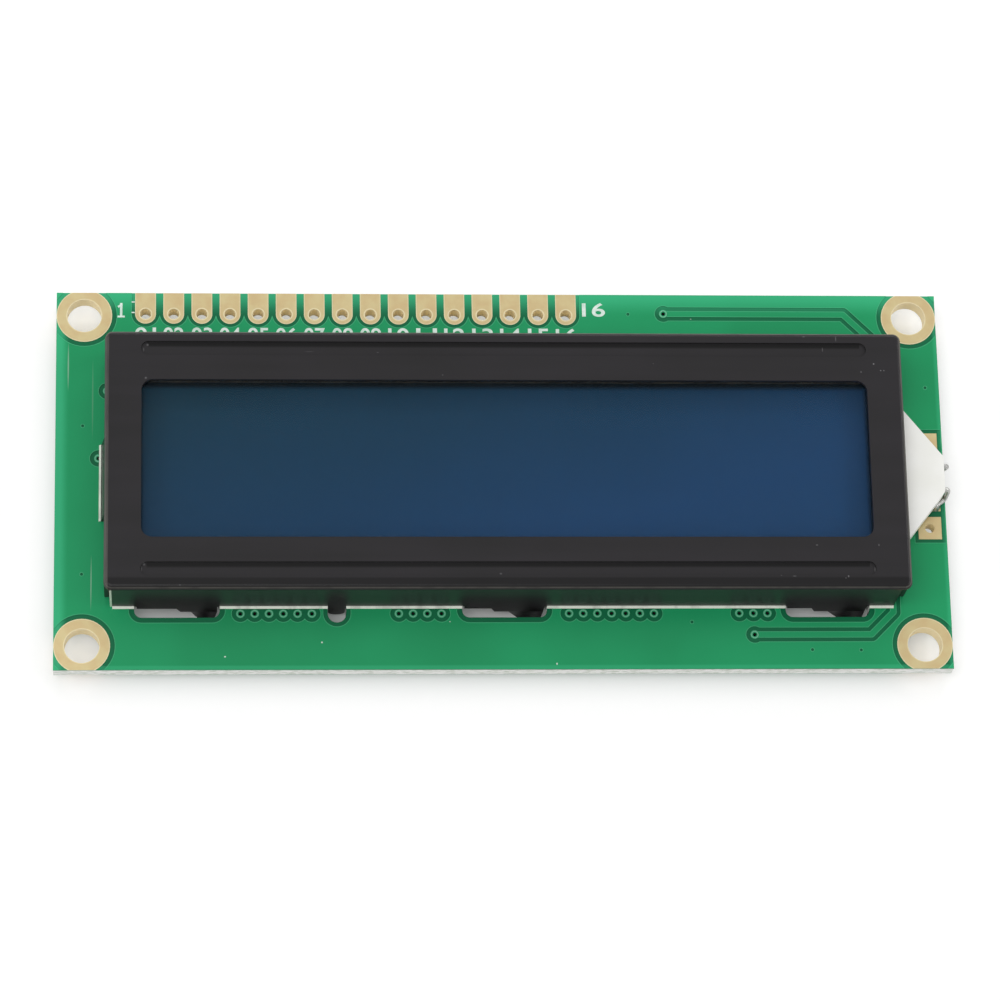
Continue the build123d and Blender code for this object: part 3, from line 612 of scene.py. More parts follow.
@dataclass(frozen=True)
class GoldPlate(Finish):
    """Thin gold over copper: painted highlights where pads' edges round off, painted light on the holes'
    walls.
    """

    field: Colour = screen_colour(222, 205, 155)
    field_dark: Colour = screen_colour(217, 193, 144)
    lit_bore: Colour = screen_colour(255, 240, 200)
    rim_highlight: Colour = screen_colour(248, 238, 200)
    hole_x: float = 37.5
    hole_y: float = 15.5
    ring_radius: float = 2.5
    bore_radius: float = 1.55
    pad_first_x: float = -32.0
    pad_pitch: float = 2.54
    pad_y: float = 15.7
    pad_half: float = 0.935
    pad_bore: float = 0.55
    row_margin: float = 1.2
    row_end_x: float = 8.0
    rim_highlight_strength: float = 0.7

    def looks(self, graph: Graph, effects: SharedEffects, place: bpy.types.NodeSocket) -> dict:
        """Colour with painted highlights by the distance to the pads' edges, with a fine dimple."""
        x, y, _ = graph.axes(place)
        dx = graph.math("SUBTRACT", graph.math("ABSOLUTE", x), self.hole_x)
        dy = graph.math("SUBTRACT", graph.math("ABSOLUTE", y), self.hole_y)
        radius = graph.reach(dx, dy)
        outer = effects.near(graph, radius, self.ring_radius, 0.07, 0.06)
        inner = effects.near(graph, radius, self.bore_radius, 0.07, 0.06)

        row_start = self.pad_first_x - self.pad_pitch / 2
        step = graph.math("DIVIDE", graph.math("SUBTRACT", x, row_start), self.pad_pitch)
        across = graph.math("SUBTRACT", graph.math("FRACT", step), 0.5)
        across = graph.both(graph.math("ABSOLUTE", across), self.pad_pitch)
        down = graph.math("SUBTRACT", y, self.pad_y)
        below = graph.math("MINIMUM", down, 0.0)
        pad_edge = effects.near(graph, graph.reach(across, below), self.pad_half, 0.06, 0.06)
        on_row = graph.both(graph.over(y, self.pad_y - self.row_margin), graph.under(x, self.row_end_x))
        on_row = graph.both(on_row, graph.over(x, self.pad_first_x - self.row_margin))
        hole_edge = effects.near(graph, graph.reach(across, down), self.pad_bore, 0.05, 0.05)
        # Painted highlight: lighter gold along the rings' and the header pads' rounded edges.
        edge_highlight = graph.either(outer, inner, graph.both(graph.either(pad_edge, hole_edge), on_row))

        cloud = graph.ease(graph.noise(place, 0.7, 3.0), 0.3, 0.7)
        metal = graph.blend(cloud, self.field_dark, self.field)
        relief = effects.texture(graph, place, 3.0, 14.0)
        # Painted light: steep walls, the holes' walls above all, take a lighter and less metallic gold in
        # place of the light that reaches into them.
        wall = graph.steep()
        plated = graph.blend(graph.both(edge_highlight, self.rim_highlight_strength), metal, self.rim_highlight)
        return {
            "Base Color": graph.blend(wall, plated, self.lit_bore),
            "Metallic": graph.level(wall, self.metallic, 0.0),
            "Roughness": graph.level(graph.noise(place, 3.0), self.roughness - 0.06, self.roughness + 0.1),
            "Height": relief,
        }


@dataclass(frozen=True)
class BlackPaint(Finish):
    """Black semi-gloss paint on steel, bare on the sheared lips; painted shade in grooves, highlights on
    bends.
    """

    paint: Colour = screen_colour(36, 35, 36)
    paint_light: Colour = screen_colour(42, 40, 43)
    bend_highlight: Colour = screen_colour(92, 90, 84)
    shade: Colour = screen_colour(5, 5, 5)
    dust: Colour = screen_colour(176, 176, 178)
    steel: Colour = screen_colour(238, 242, 230)
    middle_x: float = 0.12
    middle_y: float = 0.1
    wall_y: float = 12.0
    wall_end_x: float = 34.83
    board_top: float = 1.6
    lip: float = 0.22
    bend_z: float = 6.6
    flare_x: float = -35.9
    face_z: float = 7.05
    crest_z: float = 6.97
    bend_x: float = 35.15
    groove_middle_y: float = 0.2
    groove_y: float = 10.25
    groove_end: float = 31.9
    groove_step: float = 0.4
    groove_half: float = 0.2
    groove_shade_strength: float = 0.85
    rolled_shade_y: tuple[float, float] = (-10.7, -11.0)
    rolled_shade_strength: float = 0.6
    front_highlight_strength: float = 0.55
    left_highlight_strength: float = 0.45
    dust_strength: float = 0.2
    fleck_and_glint_strength: float = 0.42
    marks: tuple[Mark, ...] = (
        Mark(33.21, 9.13, 0.09, 0.09),
        Mark(33.82, 8.5, 0.08, 0.07, 0.8),
        Mark(34.11, 8.5, 0.07, 0.07, 0.7),
        Mark(29.88, 11.5, 0.05, 0.3, 0.5),
        Mark(28.67, 10.54, 0.05, 0.25, 0.4),
        Mark(26.99, 11.7, 0.15, 0.06, 0.4),
        Mark(32.04, 8.36, 0.08, 0.08, 0.6),
        Mark(27.35, -7.89, 0.12, 0.07, 0.5),
        Mark(32.88, -7.89, 0.07, 0.12, 0.5),
        Mark(25.24, -10.76, 0.2, 0.05, 0.45),
        Mark(24.08, -10.66, 0.08, 0.08, 0.5),
        Mark(30.04, -10.76, 0.08, 0.14, 0.7),
        Mark(29.8, -10.94, 0.06, 0.06, 0.6),
        Mark(-0.73, -10.47, 0.14, 0.1, 0.35),
        # Painted glints: the five marks at the grooves' ends stand for light caught by the rounded ends.
        Mark(-31.75, 10.8, 0.12, 0.14, 0.45),
        Mark(-32.1, 10.35, 0.07, 0.25, 0.3),
        Mark(-32.0, -9.6, 0.14, 0.14, 0.45),
        Mark(-32.2, -10.0, 0.06, 0.3, 0.25),
        Mark(32.45, -10.1, 0.06, 0.3, 0.45),
        Mark(-17.4, 10.2, 0.5, 0.03, 0.25),
        Mark(-31.9, 7.62, 0.12, 0.12, 0.5),
        Mark(-11.3, 10.15, 0.12, 0.05, 0.3),
    )

    def looks(self, graph: Graph, effects: SharedEffects, place: bpy.types.NodeSocket) -> dict:
        """Paint with streaks and orange peel, painted shade and highlights, and steel outside the walls'
        planes.
        """
        x, y, z = graph.axes(place)
        side = graph.apart(y, self.middle_y)
        above = graph.over(z, self.board_top - 0.01)
        low = graph.both(above, graph.under(z, self.board_top + self.lip))
        lower_lip = graph.both(graph.over(side, self.wall_y + 0.005), low)
        below_bend = graph.both(above, graph.under(z, self.bend_z))
        end_lip = graph.both(graph.over(side, self.wall_y - 0.3), below_bend)
        end_lip = graph.both(end_lip, effects.near(graph, x, -self.wall_end_x - 0.12, 0.1, 0.02))
        flare_lip = graph.under(x, self.flare_x)
        bare = graph.either(lower_lip, end_lip, flare_lip)
        worn = graph.ease(graph.noise(graph.stretch(place, 1.0, 0.4, 0.4), 0.9, 3.0), 0.3, 0.55)
        bare = graph.both(bare, graph.level(worn, 0.7, 1.0))

        cloud = graph.ease(graph.noise(place, 0.09, 3.0), 0.3, 0.7)
        streak = graph.ease(graph.noise(graph.stretch(place, 0.05, 0.6, 1.0), 1.0, 2.0), 0.2, 0.8)
        tone = graph.both(graph.math("ADD", cloud, streak), 0.5)
        paint = graph.blend(tone, self.paint, self.paint_light)
        face = graph.over(z, self.face_z - 0.25)
        # Painted shade: a dark band along the +Y side of each groove.
        in_groove = graph.math("SUBTRACT", graph.apart(y, self.groove_middle_y), self.groove_y)
        rear = graph.over(y, 0.0)
        along = graph.under(graph.apart(x, self.middle_x), self.groove_end)
        step, half = self.groove_step, self.groove_half
        rear_wall = graph.both(rear, effects.near(graph, in_groove, step, half, half))
        front = graph.math("SUBTRACT", 1.0, rear)
        front_wall = graph.both(front, effects.near(graph, in_groove, -step, half, half))
        groove_shade_mask = graph.both(graph.either(rear_wall, front_wall), along, face)
        paint = graph.blend(graph.both(groove_shade_mask, self.groove_shade_strength), paint, self.shade)
        # Painted shade: darker on the face between the front groove and the front wall, where the face
        # rolls down.
        rolled_shade = graph.both(graph.ease(y, *self.rolled_shade_y), graph.over(z, self.bend_z))
        paint = graph.blend(graph.both(rolled_shade, self.rolled_shade_strength), paint, self.shade)
        # Painted highlight: lighter grey along the crests of the bends, broken up by noise.
        crest = effects.near(graph, z, self.crest_z, 0.05, 0.05)
        rear_bend = graph.over(y, self.wall_y - 0.5)
        end_bend = graph.over(graph.math("ABSOLUTE", x), self.bend_x)
        front_bend = graph.under(y, self.middle_y - self.wall_y + 0.45)
        front_bend = graph.both(front_bend, self.front_highlight_strength)
        bend_highlight_mask = graph.both(crest, graph.either(rear_bend, end_bend, front_bend))
        left_bend = graph.both(graph.under(x, -self.bend_x), graph.over(z, self.bend_z))
        highlight_breakup = graph.ease(graph.noise(graph.stretch(place, 0.6, 0.25, 0.6), 1.0, 3.0), 0.3, 0.6)
        bend_highlight_mask = graph.either(bend_highlight_mask, graph.both(left_bend, self.left_highlight_strength))
        paint = graph.blend(graph.both(bend_highlight_mask, graph.level(highlight_breakup, 0.6, 1.0)), paint, self.bend_highlight)
        dust = graph.group(effects.specks, {"Vector": place, "Scale": 0.9, "Share": 0.03, "Radius": 0.045})
        # Dust specks and the listed marks take the dust colour; the marks at the grooves' ends are painted
        # glints.
        flecks_and_glints = graph.both(self.marked(graph, effects, place, self.marks), face)
        dust = graph.either(graph.both(dust, self.dust_strength), graph.both(flecks_and_glints, self.fleck_and_glint_strength))
        paint = graph.blend(dust, paint, self.dust)
        relief = effects.texture(graph, place, 2.2, 16.0)
        return {
            "Base Color": graph.blend(bare, paint, self.steel),
            "Roughness": graph.level(streak, self.roughness - 0.01, self.roughness + 0.02),
            "Metallic": graph.both(bare, 0.3),
            "Height": relief,
        }


@dataclass(frozen=True)
class BlueCrystal(Finish):
    """The blue cell as it looks unlit, deeper towards the top and the left, with a dark painted surround
    for the shade under the bezel.
    """

    blue: Colour = screen_colour(34, 80, 130)
    teal: Colour = screen_colour(24, 68, 90)
    surround_shade: Colour = screen_colour(8, 10, 12)
    middle: tuple[float, float] = (0.12, 0.2)
    half: tuple[float, float] = (32.38, 7.12)
    edge: float = 0.3
    slope: tuple[float, float] = (0.012, -0.045)
    start: float = 0.62

    def looks(self, graph: Graph, effects: SharedEffects, place: bpy.types.NodeSocket) -> dict:
        """A slow change from teal at the top left to blue below."""
        x, y, _ = graph.axes(place)
        slope = graph.math("ADD", graph.both(x, self.slope[0]), graph.both(y, self.slope[1]))
        cloud = graph.both(graph.math("SUBTRACT", graph.noise(place, 0.05, 2.0), 0.5), 0.5)
        factor = graph.math("ADD", graph.math("ADD", slope, cloud), self.start, clamp=True)
        relief = effects.texture(graph, place, 0.4, 4.0)
        lit = graph.blend(factor, self.teal, self.blue)
        # Painted shade: the cell turns dark towards and beyond the window's edges, where the bezel shades
        # it.
        under_bezel_shade = []
        for value, middle, half in zip((x, y), self.middle, self.half):
            away = graph.apart(value, middle)
            under_bezel_shade.append(graph.ease(away, half - self.edge, half + self.edge))
        return {
            "Base Color": graph.blend(graph.either(*under_bezel_shade), lit, self.surround_shade),
            "Roughness": graph.level(cloud, self.roughness, self.roughness + 0.05),
            "Height": relief,
        }


@dataclass(frozen=True)
class LayeredRubber(Finish):
    """Contact rubber: pale sides with a dark band of fine conducting layers along its middle."""

    body: Colour = screen_colour(214, 170, 164)
    core: Colour = screen_colour(46, 42, 42)
    layer_pitch: float = 0.1
    module_middle: float = 0.1
    middle: float = 10.45

    def looks(self, graph: Graph, effects: SharedEffects, place: bpy.types.NodeSocket) -> dict:
        """Fine stripes across the core."""
        x, y, _ = graph.axes(place)
        stripe = graph.math("SINE", graph.both(x, 2 * math.pi / self.layer_pitch))
        core = effects.near(graph, graph.apart(y, self.module_middle), self.middle, 0.35, 0.03)
        dark = graph.both(core, graph.level(graph.ease(stripe, -0.2, 0.2), 0.4, 1.0))
        relief = effects.texture(graph, place, 2.0, 10.0)
        return {
            "Base Color": graph.blend(dark, self.body, self.core),
            "Roughness": graph.level(graph.noise(place, 2.0), self.roughness - 0.05, self.roughness + 0.05),
            "Height": relief,
        }


@dataclass(frozen=True)
class ChipBody(Finish):
    """A chip part: its body between two tinned ends."""

    body: Colour = screen_colour(30, 30, 32)
    body_light: Colour = screen_colour(44, 44, 46)
    tin: Colour = screen_colour(206, 206, 204)
    centre_x: float = 26.5
    body_half: float = 0.62

    def looks(self, graph: Graph, effects: SharedEffects, place: bpy.types.NodeSocket) -> dict:
        """Body colour in the middle and metal at both ends."""
        x = graph.axes(place)[0]
        away = graph.apart(x, self.centre_x)
        ends = graph.ease(away, self.body_half - 0.02, self.body_half + 0.02)
        cloud = graph.ease(graph.noise(place, 1.4, 3.0), 0.3, 0.7)
        body = graph.blend(cloud, self.body, self.body_light)
        relief = effects.texture(graph, place, 3.0, 12.0)
        return {
            "Base Color": graph.blend(ends, body, self.tin),
            "Metallic": ends,
            "Roughness": graph.level(ends, self.roughness, 0.3),
            "Height": relief,
        }


def deselect() -> None:
    """Select nothing."""
    for item in bpy.context.view_layer.objects:
        item.select_set(False)


def activate(piece: bpy.types.Object) -> None:
    """Select one piece alone and make it active."""
    deselect()
    piece.select_set(True)
    bpy.context.view_layer.objects.active = piece


def settle(piece: bpy.types.Object) -> None:
    """Move a piece's place, turn and size into its mesh."""
    activate(piece)
    bpy.ops.object.transform_apply(location=True, rotation=True, scale=True)


def join(name: str, pieces: Sequence[bpy.types.Object]) -> bpy.types.Object:
    """Join several pieces into one.

    Args:
        name: The name of the joined piece.
        pieces: The pieces, each with its own mesh.

    Returns:
        The joined piece, with its place in its mesh.
    """
    deselect()
    for piece in pieces:
        piece.select_set(True)
    bpy.context.view_layer.objects.active = pieces[0]
    if len(pieces) > 1:
        bpy.ops.object.join()
    pieces[0].name = name
    settle(pieces[0])
    return pieces[0]


def copy_at(piece: bpy.types.Object, shift: Sequence[float]) -> bpy.types.Object:
    """Copy a piece with its own mesh, moved by millimetres."""
    twin = piece.copy()
    twin.data = piece.data.copy()
    bpy.context.collection.objects.link(twin)
    twin.data.transform(Matrix.Translation(Vector(shift) * MM))
    return twin


class Workshop:
    """Keeps the shared effects and the finishes, and hands pieces over when they are done."""

    def __init__(self, finishes: Sequence[Finish]) -> None:
        """Make a material from every finish."""
        effects = SharedEffects()
        self.materials = {finish.slot: finish.make(effects) for finish in finishes}
        self.pieces: list[str] = []

    def dress(self, node: str, slot: Slot) -> None:
        """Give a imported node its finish."""
        mesh = frame["nodes"][node].data
        mesh.materials.clear()
        mesh.materials.append(self.materials[slot])

    def hand_over(self, piece: bpy.types.Object, slot: Slot, smooth_degrees: float = 35.0) -> None:
        """Finish a new piece and put it on the body.

        Args:
            piece: The piece, with its place in its mesh.
            slot: The slot it takes its finish from.
            smooth_degrees: Edges flatter than this are shaded smooth.
        """
        settle(piece)
        bpy.ops.object.shade_smooth_by_angle(angle=math.radians(smooth_degrees))
        piece.data.materials.clear()
        piece.data.materials.append(self.materials[slot])
        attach(piece, "root")
        self.pieces.append(piece.name)
        LOG.info("%s: %d faces", piece.name, len(piece.data.polygons))


def bar(low: Sequence[float], high: Sequence[float], turn_degrees: float = 0.0) -> bpy.types.Object:
    """Make a thin block with softened edges.

    Args:
        low: X, Y and Z of its lowest corner in millimetres.
        high: X, Y and Z of its highest corner.
        turn_degrees: How far it is turned about Z round its own middle.

    Returns:
        The block, with its place in its mesh.
    """
    deselect()
    size = Vector(high) - Vector(low)
    bpy.ops.mesh.primitive_cube_add(size=1.0)
    piece = bpy.context.object
    piece.scale = size * MM
    piece.rotation_euler = (0.0, 0.0, math.radians(turn_degrees))
    piece.location = (Vector(high) + Vector(low)) / 2 * MM
    settle(piece)
    bpy.ops.object.mode_set(mode="EDIT")
    bpy.ops.mesh.select_all(action="SELECT")
    bpy.ops.mesh.bevel(offset=min(size) * 0.2 * MM, segments=2)
    bpy.ops.object.mode_set(mode="OBJECT")
    return piece


def flat_ring(centre: Sequence[float], radius: float, half_width: float, height: float) -> bpy.types.Object:
    """Make a ring of low oval section, such as a printed circle.

    Args:
        centre: X, Y and Z of its middle in millimetres.
        radius: The radius of its middle line.
        half_width: Half its width.
        height: Its height.

    Returns:
        The ring, with its place in its mesh.
    """
    deselect()
    bpy.ops.mesh.primitive_torus_add(
        major_radius=radius * MM, minor_radius=half_width * MM, major_segments=72, minor_segments=8
    )
    piece = bpy.context.object
    bpy.ops.object.mode_set(mode="EDIT")
    bpy.ops.mesh.select_all(action="SELECT")
    bpy.ops.transform.resize(value=(1.0, 1.0, height / (2 * half_width)))
    bpy.ops.object.mode_set(mode="OBJECT")
    piece.location = Vector(centre) * MM
    settle(piece)
    return piece


@dataclass
class Legend:
    """White print on the board: plain numerals and outlines."""

    thickness: float = 0.02
    thinning: float = 0.016
    first_pin_x: float = -32.0
    pin_pitch: float = 2.54
    pin_count: int = 16
    digit_width: float = 1.9
    digit_low: float = 12.95
    digit_high: float = 14.4
    one_left: float = -34.52
    one_right: float = -33.86
    one_low: float = 15.34
    one_high: float = 16.73
    stroke: float = 0.22
    flag_turn: float = 35.0
    flag_coats: float = 1.5
    box_ends: tuple[float, float] = (-33.25, -32.97)
    box_rows: tuple[float, float] = (16.83, 15.82)
    box_half: float = 0.06
    front_last: tuple[tuple[float, float], ...] = ((7.59, 15.57), (9.69, 16.9))
    back_first: tuple[tuple[float, float], ...] = ((-34.3, 15.3), (-33.9, 16.7))
    back_last: tuple[tuple[float, float], ...] = ((7.6, 15.3), (9.6, 16.7))
    chip_columns: tuple[tuple[float, float, int], ...] = ((26.5, -6.25, 6), (-26.5, -3.75, 4))
    chip_pitch: float = 2.5
    outline_half: tuple[float, float] = (1.85, 1.0)
    outline_width: float = 0.14
    dome_circles: tuple[tuple[float, float], ...] = ((-13.5, 8.1), (14.0, 7.1))

    def numeral(
        self, text: str, low: Sequence[float], high: Sequence[float], side: Side
    ) -> bpy.types.Object:
        """Print one number inside a box.

        Args:
            text: The digits.
            low: X and Y of the box's lower left corner.
            high: X and Y of its upper right corner.
            side: The board face it is printed on.

        Returns:
            The print as a closed thin mesh.
        """
        deselect()
        bpy.ops.object.text_add(location=(0.0, 0.0, 0.0))
        piece = bpy.context.object
        piece.data.body = text
        piece.data.extrude = 0.5
        piece.data.offset = self.thinning
        bpy.ops.object.convert(target="MESH")
        piece = bpy.context.object
        corners = [vertex.co for vertex in piece.data.vertices]
        left, right = min(c.x for c in corners), max(c.x for c in corners)
        bottom, top = min(c.y for c in corners), max(c.y for c in corners)
        width = (high[0] - low[0]) / (right - left)
        height = (high[1] - low[1]) / (top - bottom)
        turn = side.outward
        level = side.height + turn * self.thickness / 2
        place = Matrix.Translation(Vector(((low[0] + high[0]) / 2, low[1], level)))
        size = Matrix.Diagonal((width * turn, height, self.thickness * turn, 1.0))
        centre = Matrix.Translation(Vector((-(left + right) / 2, -bottom, 0.0)))
        piece.data.transform(Matrix.Scale(MM, 4) @ place @ size @ centre)
        return piece

    def line(
        self, low: Sequence[float], high: Sequence[float], side: Side, turn: float = 0.0, coats: float = 1.0
    ) -> bpy.types.Object:
        """Print one straight bar between two corners on a face, in one or more coats of ink."""
        levels = sorted((side.height, side.height + side.outward * self.thickness * coats))
        return bar((*low, levels[0]), (*high, levels[1]), turn)

    def footed_one(self, side: Side) -> list[bpy.types.Object]:
        """Print the numeral 1 with a stem, a foot and a flag that leans to the left."""
        middle = (self.one_left + self.one_right) / 2
        half = self.stroke / 2
        foot_top = self.one_low + self.stroke * 0.8
        stem = self.line((middle - half, foot_top), (middle + half, self.one_high), side)
        foot = self.line((self.one_left, self.one_low), (self.one_right, foot_top), side)
        low = (self.one_left + 0.02, self.one_high - 0.4)
        flag = self.line(low, (middle, self.one_high - 0.2), side, self.flag_turn, self.flag_coats)
        return [stem, foot, flag]

    def pin_box(self) -> list[bpy.types.Object]:
        """Print the two short lines left of the first pad."""
        left, right = self.box_ends
        half = self.box_half
        return [self.line((left, y - half), (right, y + half), Side.FRONT) for y in self.box_rows]

    def outline(self, x: float, y: float) -> list[bpy.types.Object]:
        """Print the outline round one chip on the back."""
        half_x, half_y = self.outline_half
        w = self.outline_width
        return [
            self.line((x - half_x, y - half_y), (x + half_x, y - half_y + w), Side.BACK),
            self.line((x - half_x, y + half_y - w), (x + half_x, y + half_y), Side.BACK),
            self.line((x - half_x, y - half_y + w), (x - half_x + w, y + half_y - w), Side.BACK),
            self.line((x + half_x - w, y - half_y + w), (x + half_x, y + half_y - w), Side.BACK),
        ]

    def build(self, shop: Workshop) -> None:
        """Print the numerals on the front, and the numerals and outlines on the back."""
        front = self.footed_one(Side.FRONT) + self.pin_box()
        front.append(self.numeral("16", *self.front_last, Side.FRONT))
        for index in range(self.pin_count):
            middle = self.first_pin_x + index * self.pin_pitch
            low = (middle - self.digit_width / 2, self.digit_low)
            high = (middle + self.digit_width / 2, self.digit_high)
            front.append(self.numeral(f"{index + 1:02d}", low, high, Side.FRONT))
        shop.hand_over(join("front_legend", front), Slot.SILKSCREEN)

        back = [
            self.numeral("1", *self.back_first, Side.BACK),
            self.numeral("16", *self.back_last, Side.BACK),
        ]
        for x, first_y, count in self.chip_columns:
            for index in range(count):
                back += self.outline(x, first_y + index * self.chip_pitch)
        level = Side.BACK.height - self.thickness / 4
        for x, radius in self.dome_circles:
            back.append(flat_ring((x, 0.0, level), radius, self.outline_width / 2, self.thickness))
        shop.hand_over(join("back_legend", back), Slot.SILKSCREEN)


@dataclass
class CopperEdge:
    """The rounded edge of the copper under the mask, along every bare ground."""

    board_top: float = 1.6
    board_half: tuple[float, float] = (40.0, 17.7)
    copper: float = 0.04
    width: float = 0.07
    rise: float = 0.012
    weld: float = 0.002

    def build(self, shop: Workshop) -> None:
        """Copy the steps round the bare ground and thicken them into a bead."""
        deselect()
        source = frame["nodes"]["circuit_board"]
        bead = source.copy()
        bead.data = source.data.copy()
        bead.name = "copper_edge"
        bpy.context.collection.objects.link(bead)
        activate(bead)
        low = (self.board_top - self.copper * 1.2) * MM
        mesh = bead.data
        bpy.ops.object.mode_set(mode="EDIT")
        bpy.ops.mesh.select_mode(type="FACE")
        bpy.ops.mesh.select_all(action="DESELECT")
        bpy.ops.object.mode_set(mode="OBJECT")
        for polygon in mesh.polygons:
            heights = [mesh.vertices[i].co.z for i in polygon.vertices]
            polygon.select = not (abs(polygon.normal.z) < 0.3 and min(heights) > low)
        bpy.ops.object.mode_set(mode="EDIT")
        bpy.ops.mesh.delete(type="FACE")
        bpy.ops.mesh.select_all(action="SELECT")
        bpy.ops.mesh.remove_doubles(threshold=self.weld * MM)
        bpy.ops.mesh.delete_loose()
        bpy.ops.object.mode_set(mode="OBJECT")
        middle = (self.board_top - self.copper / 2) * MM
        for vertex in mesh.vertices:
            if vertex.co.z > middle:
                vertex.co.z += self.rise * MM
        thicken = bead.modifiers.new("width", "SOLIDIFY")
        thicken.thickness = self.width * MM
        thicken.offset = 0.0
        bpy.ops.object.modifier_apply(modifier=thicken.name)
        for vertex in mesh.vertices:
            for axis, half in enumerate(self.board_half):
                vertex.co[axis] = max(-half * MM, min(half * MM, vertex.co[axis]))
        shop.hand_over(bead, Slot.BOARD)


@dataclass
class ViaRings:
    """The raised rings of the vias, where the mask rises over the plated edge."""

    row_starts: tuple[float, ...] = (-23.53, -9.49, 5.67, 20.91)
    row_counts: tuple[int, ...] = (6, 4, 7, 3)
    row_y: float = -12.55
    pitch: float = 1.265
    single: tuple[tuple[float, float], ...] = (
        (-36.14, 1.92), (-35.4, 8.3), (22.23, -14.53), (15.01, 15.87),
    )
    radius: float = 0.29
    half_width: float = 0.055
    rise: float = 0.024

    def build(self, shop: Workshop) -> None:
        """Make one ring and set a copy of it at every via."""
        centre = (0.0, 0.0, Side.FRONT.height + self.rise / 2)
        first = flat_ring(centre, self.radius, self.half_width, self.rise)
        places = list(self.single)
        for start, count in zip(self.row_starts, self.row_counts):
            places += [(start + index * self.pitch, self.row_y) for index in range(count)]
        rings = [copy_at(first, (x, y, 0.0)) for x, y in places]
        bpy.data.objects.remove(first, do_unlink=True)
        shop.hand_over(join("via_rings", rings), Slot.BOARD)


@dataclass
class CircuitBoard:
    """The board with its plated pads, the copper's edge and the print."""

    legend: Legend = field(default_factory=Legend)
    copper_edge: CopperEdge = field(default_factory=CopperEdge)
    via_rings: ViaRings = field(default_factory=ViaRings)

    def build(self, shop: Workshop) -> None:
        """Dress the board's nodes and add what lies on it."""
        shop.dress("circuit_board", Slot.BOARD)
        for node in ("mounting_hole_rings", "header_pads", "backlight_pads", "contact_fingers"):
            shop.dress(node, Slot.GOLD)
        self.copper_edge.build(shop)
        self.via_rings.build(shop)
        self.legend.build(shop)


@dataclass
class DisplayCell:
    """The liquid crystal cell and its contact strips."""

    def build(self, shop: Workshop) -> None:
        """Dress the cell's nodes."""
        finishes = {
            "front_polarizer": Slot.POLARIZER,
            "rear_polarizer": Slot.POLARIZER,
            "front_glass": Slot.CELL_GLASS,
            "rear_glass": Slot.CELL_GLASS,
            "cell_seal": Slot.SEAL,
            "liquid_crystal": Slot.CRYSTAL,
            "zebra_strip_upper": Slot.ZEBRA_RUBBER,
            "zebra_strip_lower": Slot.ZEBRA_RUBBER,
        }
        for node, slot in finishes.items():
            shop.dress(node, slot)


@dataclass
class Backlight:
    """The backlight with its ear, LED and leads."""

    def build(self, shop: Workshop) -> None:
        """Dress the backlight's nodes."""
        finishes = {
            "backlight_frame": Slot.WHITE_PLASTIC,
            "reflector_sheet": Slot.FILM,
            "diffuser_sheet": Slot.FILM,
            "light_guide": Slot.LIGHT_GUIDE,
            "led_package": Slot.LED_RESIN,
            "led_lead_anode": Slot.TIN,
            "led_lead_cathode": Slot.TIN,
            "solder_joints": Slot.TIN,
        }
        for node, slot in finishes.items():
            shop.dress(node, slot)


@dataclass
class Bezel:
    """The stamped cover."""

    def build(self, shop: Workshop) -> None:
        """Dress the bezel."""
        shop.dress("bezel", Slot.BEZEL_PAINT)


@dataclass
class ChipSolder:
    """The tinned pads under the chips' ends and the solder that climbs them."""

    chip_half: float = 1.0
    pad_length: float = 0.8
    pad_width: float = 1.4
    pad_height: float = 0.03
    pad_overlap: float = 0.3
    fillet_length: float = 0.4
    fillet_width: float = 1.2
    fillet_drop: float = 0.8
    chip_pitch: float = 2.5
    resistors: tuple[float, float, int, float] = (26.5, -6.25, 6, 0.32)
    capacitors: tuple[float, float, int, float] = (-26.5, -3.75, 4, 0.5)

    def _end(self, height: float, outward: float) -> bpy.types.Object:
        """Make the pad and the fillet of one end of a chip that stands at the origin."""
        x_low = self.chip_half - self.pad_overlap
        pad_ends = sorted((outward * x_low, outward * (x_low + self.pad_length)))
        half = self.pad_width / 2
        pad = bar((pad_ends[0], -half, -self.pad_height), (pad_ends[1], half, 0.0))
        ends = sorted((outward * self.chip_half, outward * (self.chip_half + self.fillet_length)))
        half = self.fillet_width / 2
        fillet = bar((ends[0], -half, -height), (ends[1], half, 0.0))
        middle = outward * (self.chip_half + self.fillet_length / 2) * MM
        for vertex in fillet.data.vertices:
            vertex.select = (vertex.co.x - middle) * outward > 0 and vertex.co.z < -height / 2 * MM
        bpy.ops.object.mode_set(mode="EDIT")
        bpy.ops.transform.translate(value=(0.0, 0.0, height * self.fillet_drop * MM))
        bpy.ops.object.mode_set(mode="OBJECT")
        return join("solder_end", [pad, fillet])

    def column(self, name: str, x: float, first_y: float, count: int, height: float) -> bpy.types.Object:
        """Make the solder of a whole column of chips.

        Args:
            name: The joined piece's name.
            x: The column's X in millimetres.
            first_y: The first chip's Y.
            count: The number of chips.
            height: How far the solder climbs.

        Returns:
            The joined piece.
        """
        pieces = []
        for outward in (-1.0, 1.0):
            first = self._end(height, outward)
            for index in range(count):
                pieces.append(copy_at(first, (x, first_y + index * self.chip_pitch, 0.0)))
            bpy.data.objects.remove(first, do_unlink=True)
        return join(name, pieces)

    def build(self, shop: Workshop) -> None:
        """Add the solder of both columns."""
        shop.hand_over(self.column("resistor_solder", *self.resistors), Slot.TIN)
        shop.hand_over(self.column("capacitor_solder", *self.capacitors), Slot.TIN)


